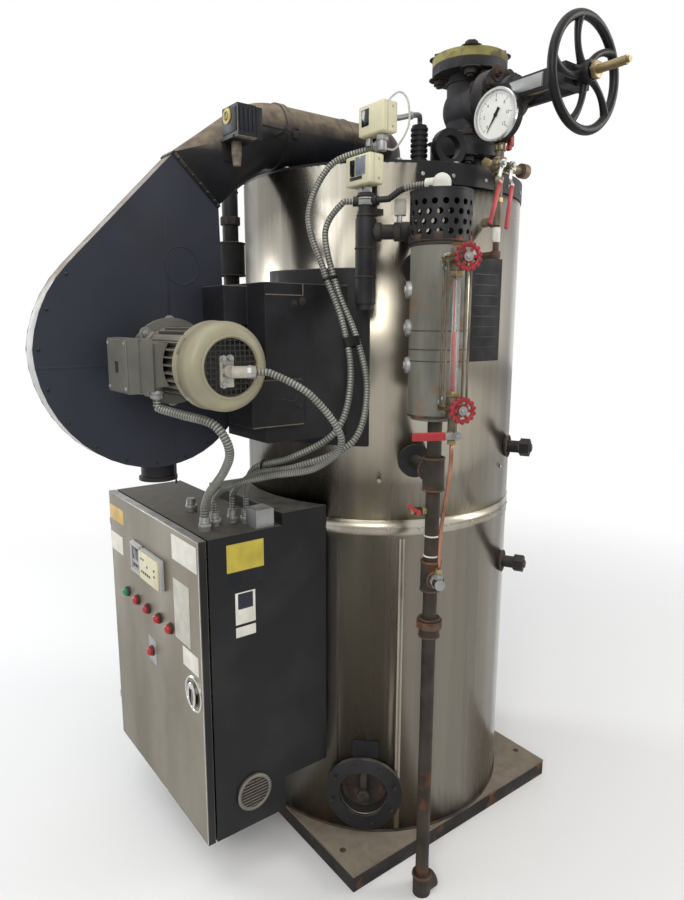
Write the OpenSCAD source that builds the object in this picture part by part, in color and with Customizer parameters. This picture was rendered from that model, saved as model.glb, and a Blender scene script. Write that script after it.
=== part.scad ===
// Vertical steam boiler with a forced-draught burner, control cabinet and water column.
// Millimetres, +Z up. The origin is on the floor under the casing's vertical axis.
// The front, with the cabinet door, faces -Y. Azimuths are measured from the front towards +X.

/* [Casing] */
// Outer diameter of the stainless casing
casing_d = 790; // [700:5:900]
// Height of the casing above the base
casing_h = 1780; // [1600:10:1900]
// Thickness of the casing sheets
jacket_t = 3; // [2:0.5:5]
// Height of the lower casing sheet
lower_jacket_h = 907; // [800:1:1000]
// Thickness of the top plate
top_t = 6; // [5:1:12]
// Height of the joint band round the casing
band_h = 48; // [30:1:80]
// Height of the black band at the casing's top edge
top_band_h = 49; // [40:1:60]
// Thickness of the joint band and of the top band
band_t = 2; // [1:0.5:3]

/* [Base] */
// How far the square base stands out past the casing on each side
base_over = 0; // [0:1:60]
// Height of the base's channel frame
frame_h = 45; // [40:1:80]
// Width of the channel's flanges
frame_flange = 60; // [50:1:80]
// Wall of the channels
frame_t = 6; // [5:0.5:9]
// Thickness of the deck plate
deck_t = 6; // [4:0.5:10]
// Diameter of the anchor holes in the deck's corners
anchor_d = 18; // [12:1:24]
// Distance of an anchor hole from the base's left or right edge
anchor_in_x = 87; // [60:1:120]
// Distance of an anchor hole from the base's front or back edge
anchor_in_y = 31; // [24:1:36]

/* [Lifting lugs] */
// Diameter of a lifting lug's round head
lug_w = 88; // [76:1:96]
// Height of a lifting lug
lug_h = 92; // [80:1:110]
// Width of a lifting lug's foot
lug_foot = 62; // [50:1:76]
// Thickness of a lifting lug
lug_t = 20; // [15:1:26]
// Diameter of the eye in a lug
lug_eye_d = 54; // [40:1:60]
// Azimuth of the lug on the valve side
lug_az = 79; // [76:1:80]
// Distance of a lug's middle from the casing's outside
lug_in = 58; // [50:1:70]

/* [Steam stop valve] */
// Distance of the steam outlet's axis from the casing's outside
outlet_in = 114; // [105:1:130]
// Azimuth of the steam outlet
outlet_az = 102.3; // [95:0.1:110]
// Outer diameter of the outlet pipe
outlet_pipe_d = 88.9; // [76:0.1:90]
// Outer diameter of the valve's flanges
flange_d = 190; // [180:1:200]
// Thickness of one flange
flange_t = 23; // [18:1:26]
// Bolt circle of the flanges
flange_pcd = 152; // [145:1:158]
// Diameter of the flange's bolt holes
flange_hole_d = 19; // [14:1:20]
// Distance between the valve's two flange faces
valve_l = 203; // [190:1:230]
// Height of the lower flange joint above the top plate
joint_h = 64; // [60:1:90]
// Diameter of the valve's barrel
barrel_d = 112; // [100:1:125]
// Diameter of the bonnet flange
bonnet_d = 150; // [130:1:155]
// Thickness of the bonnet flange
bonnet_t = 18; // [14:1:24]
// Threaded bore of the companion flange
outlet_bore_d = 60; // [50:1:70]
// Height of the companion flange with its hub
companion_h = 38; // [32:1:50]
// Outer diameter of the stop valve's handwheel
wheel_d = 254; // [220:1:270]
// Diameter of the handwheel's rim section
wheel_rim_d = 22; // [16:1:26]
// Distance from the valve's centre to the handwheel
wheel_reach = 341; // [320:1:370]
// Number of spokes in the handwheel
wheel_spokes = 5; // [4:1:6]
// Diameter of the valve stem
stem_d = 19; // [16:0.5:24]
// How far the open stem stands out past the handwheel
stem_out = 108; // [90:1:130]

/* [Burner] */
// Outer diameter of the burner's flange on the top plate
burner_d = 300; // [280:1:320]
// Thickness of the burner's flange
burner_h = 8; // [6:0.5:8.5]
// How far in front of the casing's axis the duct turns down
burner_in = 50; // [40:1:60]
// Outer diameter of the air duct
duct_d = 150; // [130:1:152]
// Height of the duct's axis above the top plate
duct_up = 84; // [80:1:95]
// Offset of the duct from the casing's axis towards +X
duct_x = 25; // [0:1:35]
// Bend radius of the duct's elbow
elbow_r = 130; // [110:1:150]
// Angle of the duct's rising length above the horizontal
rise = 36.6; // [34:0.1:39]
// Length in which the scroll's flat outlet turns into the round duct
transition_l = 84; // [70:1:110]

/* [Blower] */
// Distance of the fan axis from the casing's outside
fan_out = 295; // [285:1:325]
// Height of the fan axis
fan_z = 1366; // [1340:1:1380]
// Largest radius of the scroll
scroll_r = 305; // [290:1:320]
// Loss of radius for each degree along the scroll
scroll_k = 0.6; // [0.4:0.05:0.65]
// Width of the scroll between its side plates' outer faces
scroll_w = 60; // [50:1:80]
// Thickness of the scroll's side plates
plate_t = 3; // [2:0.5:5]
// How far the scroll's wrap stands in from the plates' edge
plate_lip = 4; // [2:0.5:8]
// Angle of the scroll's outlet above the horizontal
outlet_tilt = 46; // [44:0.1:48]
// Length of the scroll's flat outlet, from the fan's axis
outlet_end = 355; // [340:1:370]
// Diameter of the inlet ring on the scroll's far side
inlet_d = 210; // [180:1:230]
// How far the air inlet hangs below the fan's axis
inlet_drop = 304; // [290:1:320]

/* [Motor] */
// Diameter of the motor's mounting flange
motor_flange_d = 200; // [190:1:210]
// Diameter over the motor's cooling fins
motor_d = 164; // [150:1:168]
// Diameter of the fan cowl
cowl_d = 184; // [178:1:190]
// Length from the mounting flange to the cowl's end
motor_l = 300; // [280:1:330]
// Number of cooling fins
fin_count = 30; // [20:1:36]
// Thickness of a cooling fin
fin_t = 3; // [2:0.5:4]
// Diameter of the cowl's grille opening
grille_d = 126; // [110:1:136]
// Pitch of the grille's square mesh
grille_pitch = 11; // [9:1:14]
// Thickness of a grille bar
grille_bar = 2.4; // [1.8:0.2:3]

/* [Blower bracket] */
// Right-hand face of the bracket, from the casing's axis
bracket_x = 250; // [230:1:265]
// Front face of the bracket, from the casing's outside
bracket_out = 150; // [110:1:165]
// Height of the bracket's lower edge
bracket_z = 1180; // [1140:1:1220]
// Height of the bracket
bracket_h = 365; // [330:1:380]
// Height of the curved mounting strip above the bracket
strip_h = 42; // [30:1:60]
// Thickness of the curved mounting strip
strip_t = 6; // [4:1:10]

/* [Control cabinet] */
// Width of the cabinet
cab_w = 612; // [560:1:640]
// Depth of the cabinet without its door
cab_d = 203; // [190:1:215]
// Height of the cabinet
cab_h = 794; // [740:1:830]
// Height of the cabinet's floor above ground
cab_z = 166; // [140:1:200]
// Right-hand side of the cabinet, from the casing's axis
cab_x = 202; // [180:1:220]
// Front of the closed door, from the casing's outside
cab_out = 310; // [300:1:320]
// Wall of the cabinet
cab_t = 3; // [2:0.5:4]
// Thickness of the door
door_t = 20; // [16:1:26]
// Gap between the door and the cabinet
door_gap = 5; // [4:0.5:8]
// Diameter of a hinge barrel
hinge_d = 16; // [12:1:20]
// Diameter of a hinge pin
hinge_pin_d = 8; // [6:1:10]
// Length of a hinge barrel's half
hinge_h = 22; // [18:1:30]
// Width of the stand-off box behind the cabinet
mount_w = 404; // [360:1:410]
// Height of the stand-off box
mount_h = 731; // [680:1:760]
// Height of the stand-off box's lower edge
mount_z = 261; // [240:1:280]
// Distance of the side vent from the cabinet's back
vent_in = 97; // [85:1:115]
// Height of the side vent above the cabinet's floor
vent_up = 97; // [80:1:120]
// Diameter of the louvred vent in the cabinet's side
vent_d = 98; // [80:1:110]
// Diameter of a pilot light's head
pilot_d = 30; // [26:1:34]
// Distance between two pilot lights
pilot_pitch = 77; // [70:1:82]

/* [Handhole] */
// Azimuth of the handhole
handhole_az = 46; // [42:0.5:50]
// Height of the handhole's centre
handhole_z = 172; // [165:1:190]
// Outer diameter of the handhole ring
handhole_d = 214; // [190:1:220]
// Diameter of the handhole's opening
handhole_bore = 134; // [110:1:140]
// Thickness of the handhole ring
handhole_t = 12; // [8:1:16]

/* [Water column] */
// Azimuth of the water column
column_az = 63.3; // [60:0.1:66]
// Distance of the water column's axis from the casing's outside
column_out = 160; // [145:1:175]
// Diameter of the water column
column_d = 127; // [114:1:132]
// Height of the water column's lower end
column_z = 1243; // [1225:1:1260]
// Length of the water column
column_h = 380; // [360:1:390]
// Diameter of the probe guard on the column
cage_d = 134; // [133:1:142]
// Height of the probe guard
cage_h = 104; // [90:1:120]
// Diameter of the holes in the probe guard
cage_hole_d = 13; // [10:1:14]
// Outer diameter of the column's pipes
pipe_d = 33.4; // [30:0.1:38]
// Height of the upper connecting pipe
upper_pipe_z = 1581; // [1560:1:1600]
// Height of the lower connecting pipe
lower_pipe_z = 1115; // [1095:1:1135]
// Diameter of the round plates where the pipes leave the casing
rosette_d = 84; // [70:1:95]

/* [Gauge glass] */
// Distance of the gauge glass from the column's axis
glass_off = 115; // [105:1:125]
// Distance of the small handwheels from the column's axis
hand_off = 172; // [165:1:185]
// Height of the upper gauge valve
glass_top_z = 1582; // [1570:1:1590]
// Height of the lower gauge valve
glass_low_z = 1282; // [1275:1:1295]
// Outer diameter of the glass tube
glass_d = 16; // [13:1:19]
// Diameter of a gauge valve's handwheel
small_wheel_d = 57; // [48:1:62]

/* [Pressure gauge] */
// Azimuth of the gauge's pipe
gauge_az = 89.6; // [88:0.1:92]
// Distance of the gauge's pipe from the casing's outside
gauge_out = 45; // [35:1:60]
// Height of the gauge's centre
gauge_z = 1936; // [1925:1:1950]
// Diameter of the gauge's case
gauge_d = 117; // [100:1:126]
// Length of a cock lever
lever_l = 150; // [130:1:160]
// Distance between the two cocks under the gauge
cock_gap = 34; // [30:1:44]

/* [Switches] */
// Azimuth of the pressure switches' pipe
switch_az = 45.6; // [44:0.1:47]
// Distance of the pressure switches' pipe from the casing's outside
switch_out = 61; // [55:1:70]
// Height of the lower pressure switch
switch_z = 1762; // [1750:1:1775]
// Height of the upper pressure switch above the lower one
switch_step = 107; // [100:1:115]
// Diameter of the switches' pipe
switch_pipe_d = 36; // [30:1:42]

/* [Rear] */
// Diameter of the flue outlet
flue_d = 200; // [180:1:230]
// Height of the flue outlet's centre
flue_z = 1640; // [1600:1:1660]
// How far the flue collar stands out of the casing
flue_l = 90; // [70:1:120]
// Azimuth of the two capped side connections
stub_az = 117; // [112:1:122]
// Height of the upper side connection
stub_high_z = 1114; // [1090:1:1140]
// Height of the lower side connection
stub_low_z = 772; // [750:1:800]

/* [Conduits] */
// Diameter of the flexible conduits
conduit_d = 15; // [12:1:18]
// Diameter of the motor's flexible conduit
motor_conduit_d = 20; // [16:1:22]

/* [Hidden] */
$fn = 64;

// Clearance between curved faces that meet
seat = 0.3;
yoke_reach = 94;
stem_pocket = 34;
// Overshoot of a cutting shape
over = 1;
base_h = frame_h + deck_t;
casing_r = casing_d / 2;
base_w = casing_d + 2 * base_over;
anchor_x = base_w / 2 - anchor_in_x;
anchor_y = base_w / 2 - anchor_in_y;
lug_r = casing_r - lug_in;
outlet_r = casing_r - outlet_in;
fan_y = casing_r + fan_out;
bracket_y = casing_r + bracket_out;
cab_front = casing_r + cab_out;
column_r = casing_r + column_out;
gauge_r = casing_r + gauge_out;
switch_r = casing_r + switch_out;
top_z = base_h + casing_h;
jacket_top = top_z - top_t;
seam_z = base_h + lower_jacket_h;
core_r = casing_r - jacket_t - seat;
joint_z = top_z + joint_h;
valve_z = joint_z + valve_l / 2;
outlet_x = outlet_r * sin(outlet_az);
outlet_y = -outlet_r * cos(outlet_az);
wheel_x = outlet_x + wheel_reach;
duct_r = duct_d / 2;
duct_z = top_z + duct_up;
bend_back = elbow_r * tan(rise / 2);
throat_h = duct_d;
centre_off = scroll_r - throat_h / 2;
// Middle of the scroll's outlet, where the duct begins
mouth_y = -fan_y + outlet_end * cos(outlet_tilt) - centre_off * sin(outlet_tilt);
mouth_z = fan_z + outlet_end * sin(outlet_tilt) + centre_off * cos(outlet_tilt);
rise_l = (duct_z - mouth_z) / sin(rise);
bend_y = mouth_y + rise_l * cos(rise);
cab_back = cab_front - door_t - door_gap - cab_d;
cab_top = cab_z + cab_h;
gauge_pt = [gauge_r * sin(gauge_az), -gauge_r * cos(gauge_az)];
column_pt = [column_r * sin(column_az), -column_r * cos(column_az)];
switch_pt = [switch_r * sin(switch_az), -switch_r * cos(switch_az)];
column_top = column_z + column_h;

// Places a shape drawn along +X at an azimuth round the casing
module at_azimuth(a) rotate([0, 0, a - 90]) children();

// A tube standing on z = 0
module tube(outer, inner, h) {
    difference() {
        cylinder(d = outer, h = h);
        translate([0, 0, -over]) cylinder(d = inner, h = h + 2 * over);
    }
}

// A cylinder along +X from the origin
module bar_x(d, l) rotate([0, 90, 0]) cylinder(d = d, h = l);

// A hexagonal bar along +X, measured across its flats
module hex_x(flats, l) rotate([0, 90, 0]) cylinder(d = flats / cos(30), h = l, $fn = 6);

// A solid that fills the casing's outside, for cutting a seat
module casing_cut(gap = seat) {
    translate([0, 0, -over]) cylinder(r = casing_r + gap, h = top_z + over, $fn = 128);
}

// BASE
module anchor_holes(h) {
    for (sx = [-1, 1], sy = [-1, 1])
        translate([sx * anchor_x, sy * anchor_y, -over]) cylinder(d = anchor_d, h = h + 2 * over);
}

module base_frame() color([0.16, 0.15, 0.14]) difference() {
    translate([-base_w / 2, -base_w / 2, 0]) cube([base_w, base_w, frame_h]);
    translate([frame_flange - base_w / 2, frame_flange - base_w / 2, -over])
        cube([base_w - 2 * frame_flange, base_w - 2 * frame_flange, frame_h + 2 * over]);
    translate([frame_t - base_w / 2, frame_t - base_w / 2, frame_t])
        cube([base_w - 2 * frame_t, base_w - 2 * frame_t, frame_h - 2 * frame_t]);
    anchor_holes(frame_h);
}

module base_deck() color([0.42, 0.36, 0.3]) translate([0, 0, frame_h]) difference() {
    translate([-base_w / 2, -base_w / 2, 0]) cube([base_w, base_w, deck_t]);
    anchor_holes(deck_t);
}

// CASING
module handhole_axis() translate([0, 0, handhole_z]) at_azimuth(handhole_az) children();

module boiler_core() color([0.3, 0.3, 0.3]) difference() {
    translate([0, 0, base_h]) cylinder(r = core_r, h = casing_h - top_t);
    handhole_axis() translate([casing_r - 60, 0, 0]) bar_x(handhole_bore, 80);
}

module jacket_lower() color([0.72, 0.7, 0.66]) difference() {
    union() {
        translate([0, 0, base_h]) tube(casing_d, casing_d - 2 * jacket_t, lower_jacket_h);
        translate([0, 0, seam_z - band_h]) tube(casing_d + 2 * band_t, casing_d - 2 * jacket_t, band_h);
    }
    handhole_axis() translate([casing_r - 60, 0, 0]) bar_x(handhole_bore, 80);
}

module jacket_upper() color([0.74, 0.72, 0.68])
    translate([0, 0, seam_z]) tube(casing_d, casing_d - 2 * jacket_t, jacket_top - seam_z);

module lug_outline() difference() {
    union() {
        translate([0, lug_h - lug_w / 2]) circle(d = lug_w);
        translate([-lug_foot / 2, 0]) square([lug_foot, lug_h - lug_w / 2]);
    }
    translate([0, lug_h - lug_w / 2]) circle(d = lug_eye_d);
}

// The top plate carries the lifting lugs, the flanged steam outlet and a ribbed cable entry
entry_az = 66.5;
entry_in = 77;
module top_plate() color([0.2, 0.2, 0.2]) {
    translate([0, 0, jacket_top]) cylinder(r = casing_r, h = top_t);
    for (a = [lug_az, lug_az + 180]) at_azimuth(a) translate([lug_r - lug_t / 2, 0, top_z])
        rotate([90, 0, 90]) linear_extrude(lug_t) lug_outline();
    at_outlet(top_z - over) cylinder(d = outlet_pipe_d, h = joint_h - flange_t / 2);
    at_outlet(joint_z - flange_t) difference() {
        cylinder(d = flange_d, h = flange_t);
        flange_holes(flange_t);
    }
    at_azimuth(entry_az) translate([casing_r - entry_in, 0, top_z]) {
        cylinder(d = 46, h = 10);
        cylinder(d = 36, h = 96);
        for (k = [1:7]) translate([0, 0, 12 * k]) cylinder(d = 42, h = 6);
    }
}

// A black sheet bent round the top edge of the casing, in two lengths
band_start = 62;
band_end = 150;
band_split = 73.5;
module top_band() color([0.13, 0.13, 0.13])
    for (a = [[band_start, band_split - 0.1], [band_split + 0.1, band_end]])
    at_azimuth(a[0]) rotate_extrude(angle = a[1] - a[0])
        translate([casing_r + seat, top_z - top_band_h]) square([band_t, top_band_h]);

// STEAM STOP VALVE
module at_outlet(z) translate([outlet_x, outlet_y, z]) children();

module flange_holes(h) for (a = [45:90:315]) rotate([0, 0, a])
    translate([flange_pcd / 2, 0, -over]) cylinder(d = flange_hole_d, h = h + 2 * over);

module valve_body() color([0.2, 0.2, 0.2]) at_outlet(joint_z) difference() {
    union() {
        for (z = [0, valve_l - flange_t]) translate([0, 0, z]) difference() {
            cylinder(d = flange_d, h = flange_t);
            flange_holes(flange_t);
        }
        cylinder(d = barrel_d, h = valve_l);
        translate([0, 0, valve_l / 2]) {
            sphere(d = barrel_d + 18);
            bar_x(barrel_d, yoke_reach);
            translate([yoke_reach - bonnet_t, 0, 0]) bar_x(bonnet_d, bonnet_t);
        }
    }
    translate([0, 0, valve_l - 40]) cylinder(d = outlet_pipe_d - 8, h = 40 + over);
    translate([yoke_reach - stem_pocket, 0, valve_l / 2]) bar_x(stem_d + 2 * seat, stem_pocket + over);
}

// The bonnet, its yoke arms and the sleeve that carries the handwheel
yoke_x = outlet_x + yoke_reach;
gland_end = bonnet_t + 46;
sleeve_l = 34;
module valve_bonnet() color([0.12, 0.12, 0.13]) translate([yoke_x, outlet_y, valve_z]) difference() {
    reach = wheel_x - yoke_x - sleeve_l / 2;
    union() {
        bar_x(bonnet_d, bonnet_t);
        translate([bonnet_t, 0, 0]) bar_x(72, 34);
        translate([bonnet_t + 30, 0, 0]) bar_x(96, 16);
        for (s = [-1, 1]) translate([bonnet_t, s > 0 ? 34 : -46, -20]) cube([reach - bonnet_t - 16, 12, 40]);
        translate([reach - 26, 0, 0]) intersection() {
            bar_x(112, 26);
            translate([-over, -46, -22]) cube([30, 92, 44]);
        }
    }
    translate([-over, 0, 0]) bar_x(stem_d + 2 * seat, reach + 2 * over);
}

module companion_flange() color([0.55, 0.5, 0.3]) at_outlet(joint_z + valve_l) difference() {
    union() {
        cylinder(d = flange_d, h = flange_t);
        cylinder(d = 104, h = companion_h);
    }
    flange_holes(flange_t);
    translate([0, 0, -over]) cylinder(d = outlet_bore_d, h = companion_h + 2 * over);
}

module handwheel() color([0.06, 0.06, 0.07]) translate([wheel_x, outlet_y, valve_z]) rotate([0, 90, 0]) {
    ring_r = wheel_d / 2 - wheel_rim_d / 2;
    // A spoke leaves the hub straight and bends round until it meets the rim
    spoke_bend = 100;
    spoke_arc = 2 * asin((ring_r - 24) / 2 / spoke_bend) + 1;
    rotate_extrude($fn = 96) translate([ring_r, 0]) circle(d = wheel_rim_d);
    difference() {
        union() {
            translate([0, 0, -sleeve_l / 2 + seat]) cylinder(d = 52, h = sleeve_l + 6);
            for (i = [0:wheel_spokes - 1]) rotate([0, 0, 360 / wheel_spokes * i]) {
                rotate([0, 90, 0]) cylinder(d = 16, h = 24);
                translate([24, -spoke_bend, 0]) rotate([0, 0, 90 - spoke_arc])
                    rotate_extrude(angle = spoke_arc) translate([spoke_bend, 0]) circle(d = 16);
            }
        }
        translate([0, 0, -sleeve_l]) cylinder(d = stem_d + 2 * seat, h = 3 * sleeve_l);
    }
}

// The stem stands in the gland; closing the valve draws it in
module valve_stem() color([0.6, 0.52, 0.34]) translate([yoke_x + gland_end - 10, outlet_y, valve_z]) {
    stem_l = wheel_x + stem_out - yoke_x - gland_end + 10;
    bar_x(stem_d, stem_l - 6);
    translate([stem_l - 6 - over, 0, 0]) bar_x(stem_d - 6, 6 + over);
}

// BURNER AND DUCT
module duct_bore(gap = seat) translate([duct_x, bend_y, duct_z]) rotate([-90, 0, 0])
    cylinder(r = duct_r + gap, h = -bend_y - burner_in);

module down_turn(r) translate([duct_x, -burner_in, top_z + burner_h]) {
    cylinder(r = r, h = duct_up - burner_h);
    translate([0, 0, duct_up - burner_h]) sphere(r = r);
}

// The burner's flange on the top plate and the duct's turn down into it
module burner_head() color([0.1, 0.1, 0.11]) {
    translate([0, 0, top_z]) cylinder(d = burner_d, h = burner_h);
    difference() {
        union() {
            down_turn(duct_r);
            translate([duct_x, -burner_in, top_z + burner_h]) cylinder(r = duct_r + 14, h = 8);
        }
        duct_bore();
    }
}

module burner_duct() color([0.3, 0.26, 0.22])
    translate([duct_x, bend_y + bend_back, duct_z]) rotate([-90, 0, 0]) {
        cylinder(r = duct_r, h = -bend_y - bend_back - burner_in - seat);
        translate([0, 0, 1]) cylinder(r = duct_r + 4, h = 18);
    }

// The elbow, the rising length and the piece that turns the scroll's flat outlet into it
module at_mouth() translate([duct_x, mouth_y, mouth_z]) rotate([rise, 0, 0]) children();

module duct_elbow() color([0.28, 0.25, 0.21]) {
    translate([duct_x, bend_y + bend_back, duct_z]) rotate([90, 0, -90])
        translate([0, -elbow_r, 0]) rotate([0, 0, 90])
            rotate_extrude(angle = -rise) translate([elbow_r, 0]) circle(r = duct_r);
    at_mouth() translate([0, transition_l - 1, 0]) rotate([-90, 0, 0])
        cylinder(r = duct_r, h = rise_l - bend_back - transition_l + 1);
    hull() {
        at_mouth() translate([0, transition_l - 1, 0]) rotate([-90, 0, 0])
            cylinder(r = duct_r, h = 1, $fn = 32);
        translate([0, -fan_y, fan_z]) rotate([outlet_tilt, 0, 0])
            translate([0, outlet_end + seat, centre_off - throat_h / 2]) cube([scroll_w, 1, throat_h]);
    }
}

// BLOWER
// The scroll's radius at an angle measured from +Y, growing backwards from the tongue
function scroll_at(t) = t < 175 ? scroll_r : scroll_r - scroll_k * (t - 175);
tongue = 400;
flat_start = 90 + outlet_tilt;
function outlet_corner(off) = [outlet_end * cos(outlet_tilt) - off * sin(outlet_tilt),
    outlet_end * sin(outlet_tilt) + off * cos(outlet_tilt)];
function scroll_outline(inset) = concat(
    [for (t = [flat_start:7.62:tongue]) (scroll_at(t) - inset) * [cos(t), sin(t)]],
    [outlet_corner(scroll_r - throat_h + inset), outlet_corner(scroll_r - inset)]);

module scroll_slab(x, w, inset) translate([x, -fan_y, fan_z]) rotate([90, 0, 90])
    linear_extrude(w) polygon(scroll_outline(inset));

module scroll_plates() color([0.2, 0.21, 0.24]) {
    difference() {
        scroll_slab(0, plate_t, 0);
        translate([-over, -fan_y, fan_z]) bar_x(inlet_d - 30, plate_t + 2 * over);
    }
    scroll_slab(scroll_w - plate_t, plate_t, 0);
}

module scroll_wrap() color([0.5, 0.5, 0.48]) difference() {
    scroll_slab(plate_t, scroll_w - 2 * plate_t, plate_lip);
    translate([-over, -fan_y, fan_z]) bar_x(inlet_d - 30, scroll_w / 2);
}

// The inlet ring and the housing that draws air from below
module fan_inlet() color([0.18, 0.18, 0.19]) {
    difference() {
        union() {
            translate([-12, -fan_y, fan_z]) bar_x(inlet_d, 12);
            translate([-96, -fan_y, fan_z]) bar_x(inlet_d - 30, 90);
            translate([-52, -fan_y, fan_z - inlet_drop]) cylinder(d = 84, h = inlet_drop);
            translate([-52, -fan_y, fan_z - inlet_drop]) cylinder(d = 96, h = 8);
        }
        translate([-52, -fan_y, fan_z - inlet_drop - over]) cylinder(d = 76, h = inlet_drop);
        translate([-86, -fan_y, fan_z]) bar_x(inlet_d - 50, 100);
    }
}

// MOTOR
module at_motor(x) translate([scroll_w + x, -fan_y, fan_z]) children();

module motor_body() color([0.5, 0.48, 0.4]) {
    body_start = 34;
    body_end = motor_l - 84;
    at_motor(0) bar_x(motor_flange_d, 12);
    at_motor(0) bar_x(motor_d - 8, body_start);
    at_motor(body_start - over) bar_x(motor_d - 34, body_end - body_start + 2 * over);
    at_motor(body_end) bar_x(motor_d - 6, 24);
    for (i = [0:fin_count - 1]) at_motor(body_start - over) rotate([360 / fin_count * (i + 0.5), 0, 0])
        translate([0, -fin_t / 2, 0]) cube([body_end - body_start + 2 * over, fin_t, motor_d / 2]);
}

module motor_cowl() color([0.58, 0.56, 0.46]) at_motor(motor_l - 96)
    rotate([90, 0, 90]) rotate_extrude($fn = 96)
    polygon(concat(
        [[motor_d / 2 + seat, 0], [cowl_d / 2, 0]],
        [for (a = [0:15:75]) [cowl_d / 2 - 22 + 22 * cos(a), 74 + 22 * sin(a)]],
        [[grille_d / 2 - 4, 96], [grille_d / 2 - 4, 93], [grille_d / 2 + 6, 93], [motor_d / 2 - 4, 84],
            [motor_d / 2 + seat, 66]]));

module motor_grille() color([0.2, 0.2, 0.19]) at_motor(motor_l - 6) rotate([0, 90, 0]) {
    difference() {
        cylinder(d = grille_d + 6, h = 2.6);
        translate([0, 0, -over]) cylinder(d = grille_d - 8, h = 2.6 + 2 * over);
    }
    intersection() {
        cylinder(d = grille_d - 6, h = grille_bar);
        for (k = [-6:6]) {
            translate([k * grille_pitch - grille_bar / 2, -grille_d / 2, 0])
                cube([grille_bar, grille_d, grille_bar]);
            translate([-grille_d / 2, k * grille_pitch - grille_bar / 2, 0])
                cube([grille_d, grille_bar, grille_bar]);
        }
    }
}

// The terminal box on the motor's front side, with its gland below
module terminal_box() color([0.5, 0.49, 0.43]) {
    box_y = -fan_y - motor_d / 2;
    difference() {
        translate([scroll_w + 52, box_y - 26, fan_z - 46]) cube([98, 50, 92]);
        at_motor(0) bar_x(motor_d + 2 * seat, motor_l);
    }
    translate([scroll_w + 44, box_y - 56, fan_z - 54]) cube([114, 32, 108]);
    translate([scroll_w + 41, box_y - 78, fan_z - 57]) cube([120, 23, 114]);
    translate([scroll_w + 125, box_y - 6, fan_z - 72]) cylinder(d = 26, h = 30);
}

// The speed sensor on its strap in front of the grille, with the plug of its lead
plug_from = [scroll_w + motor_l + 14.2, -fan_y - 5.6, fan_z - 8];
module speed_sensor() color([0.55, 0.54, 0.5]) {
    at_motor(motor_l - 3.4 + seat) translate([0, -26, -39]) cube([5, 30, 61]);
    at_motor(motor_l - 3.4 + seat) translate([0, -10, -6]) bar_x(24, 18);
    translate(plug_from) rotate([0, 90, atan2(4, 3)]) cylinder(d = 24, h = 46);
}

// BLOWER BRACKET
module blower_bracket() color([0.07, 0.07, 0.09]) difference() {
    union() {
        translate([scroll_w + seat, -bracket_y, bracket_z])
            cube([bracket_x - scroll_w - seat, bracket_y - 200, bracket_h]);
        translate([scroll_w + seat, -bracket_y - 60, bracket_z + bracket_h - 96])
            cube([110, 80, 90]);
        translate([scroll_w + 90, -bracket_y - 44, bracket_z + 40])
            cube([bracket_x - scroll_w - 78, 140, 106]);
        intersection() {
            difference() {
                cylinder(r = casing_r + seat + strip_t, h = top_z);
                translate([0, 0, -over]) cylinder(r = casing_r + seat, h = top_z + 2 * over);
            }
            translate([30, -casing_d, bracket_z - 30])
                cube([bracket_x + 8, casing_d, bracket_h + 30 + strip_h]);
        }
    }
    casing_cut();
}

// The damper's drive on its bracket at the side of the rising duct
act_w = 71;
act_d = 47;
act_h = 66;
act_from = duct_r + 4;
module damper_actuator() color([0.1, 0.1, 0.12]) at_mouth() rotate([-rise, 0, 0]) difference() {
    union() {
        translate([act_from, 47, 82]) cube([act_w, act_d, act_h]);
        translate([act_from - 4, 42, 78]) cube([act_w - 10, act_d + 10, 6]);
        translate([act_from - 34, 50, 40]) cube([38, 34, 44]);
    }
    rotate([rise, 0, 0]) rotate([-90, 0, 0]) cylinder(r = duct_r + seat, h = rise_l);
}

// The gas train that feeds the burner over the casing's left shoulder
gas_az = -45;
gas_top = duct_z - 30;
module gas_train() color([0.3, 0.28, 0.26]) difference() {
    at_azimuth(gas_az) translate([casing_r + 60, 0, gas_top]) {
        translate([0, 0, -365]) cylinder(d = 48, h = 365);
        translate([0, 0, -285]) cylinder(d = 84, h = 90);
        translate([-casing_r, 0, 0]) bar_x(48, casing_r);
        sphere(d = 60);
        translate([-62, 0, -325]) bar_x(20, 62);
    }
    casing_cut();
    duct_bore();
    down_turn(duct_r + seat);
    translate([duct_x, -burner_in, top_z]) cylinder(r = duct_r + 14 + seat, h = burner_h + 8 + seat);
}

// CONTROL CABINET
hinge_x = cab_x - cab_w - hinge_d / 2;
hinge_y = -cab_front + door_t + door_gap / 2;
module at_hinges() for (z = [cab_z + 90, cab_top - 130]) translate([hinge_x, hinge_y, z]) children();

module cabinet_body() color([0.08, 0.08, 0.09]) {
    translate([cab_x - cab_w, -cab_back - cab_d, cab_z]) difference() {
        cube([cab_w, cab_d, cab_h]);
        translate([cab_t, -over, cab_t]) cube([cab_w - 2 * cab_t, cab_d - cab_t + over, cab_h - 2 * cab_t]);
    }
    translate([cab_x - over, -cab_back - vent_in, cab_z + vent_up]) bar_x(vent_d, 6 + over);
    at_hinges() {
        cylinder(d = hinge_d, h = hinge_h);
        cylinder(d = hinge_pin_d, h = 2 * hinge_h - 2);
        translate([0, 0, 0]) cube([hinge_d / 2, 30, hinge_h]);
    }
}

module cabinet_mount() color([0.07, 0.07, 0.08]) difference() {
    translate([cab_x - mount_w, -cab_back, mount_z]) cube([mount_w, cab_back - 250, mount_h]);
    casing_cut(seat + band_t);
}

// The mounting plate in the cabinet with its rows of control gear
module control_gear() color([0.75, 0.75, 0.72])
    translate([cab_x - cab_w + 40, -cab_back - cab_t - 12, cab_z + 40]) {
        cube([cab_w - 80, 12, cab_h - 80]);
        for (row = [0:2]) translate([30, -50, 120 + 220 * row]) for (k = [0:5])
            translate([80 * k, 0, 0]) cube([60, 50, 90]);
    }

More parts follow.
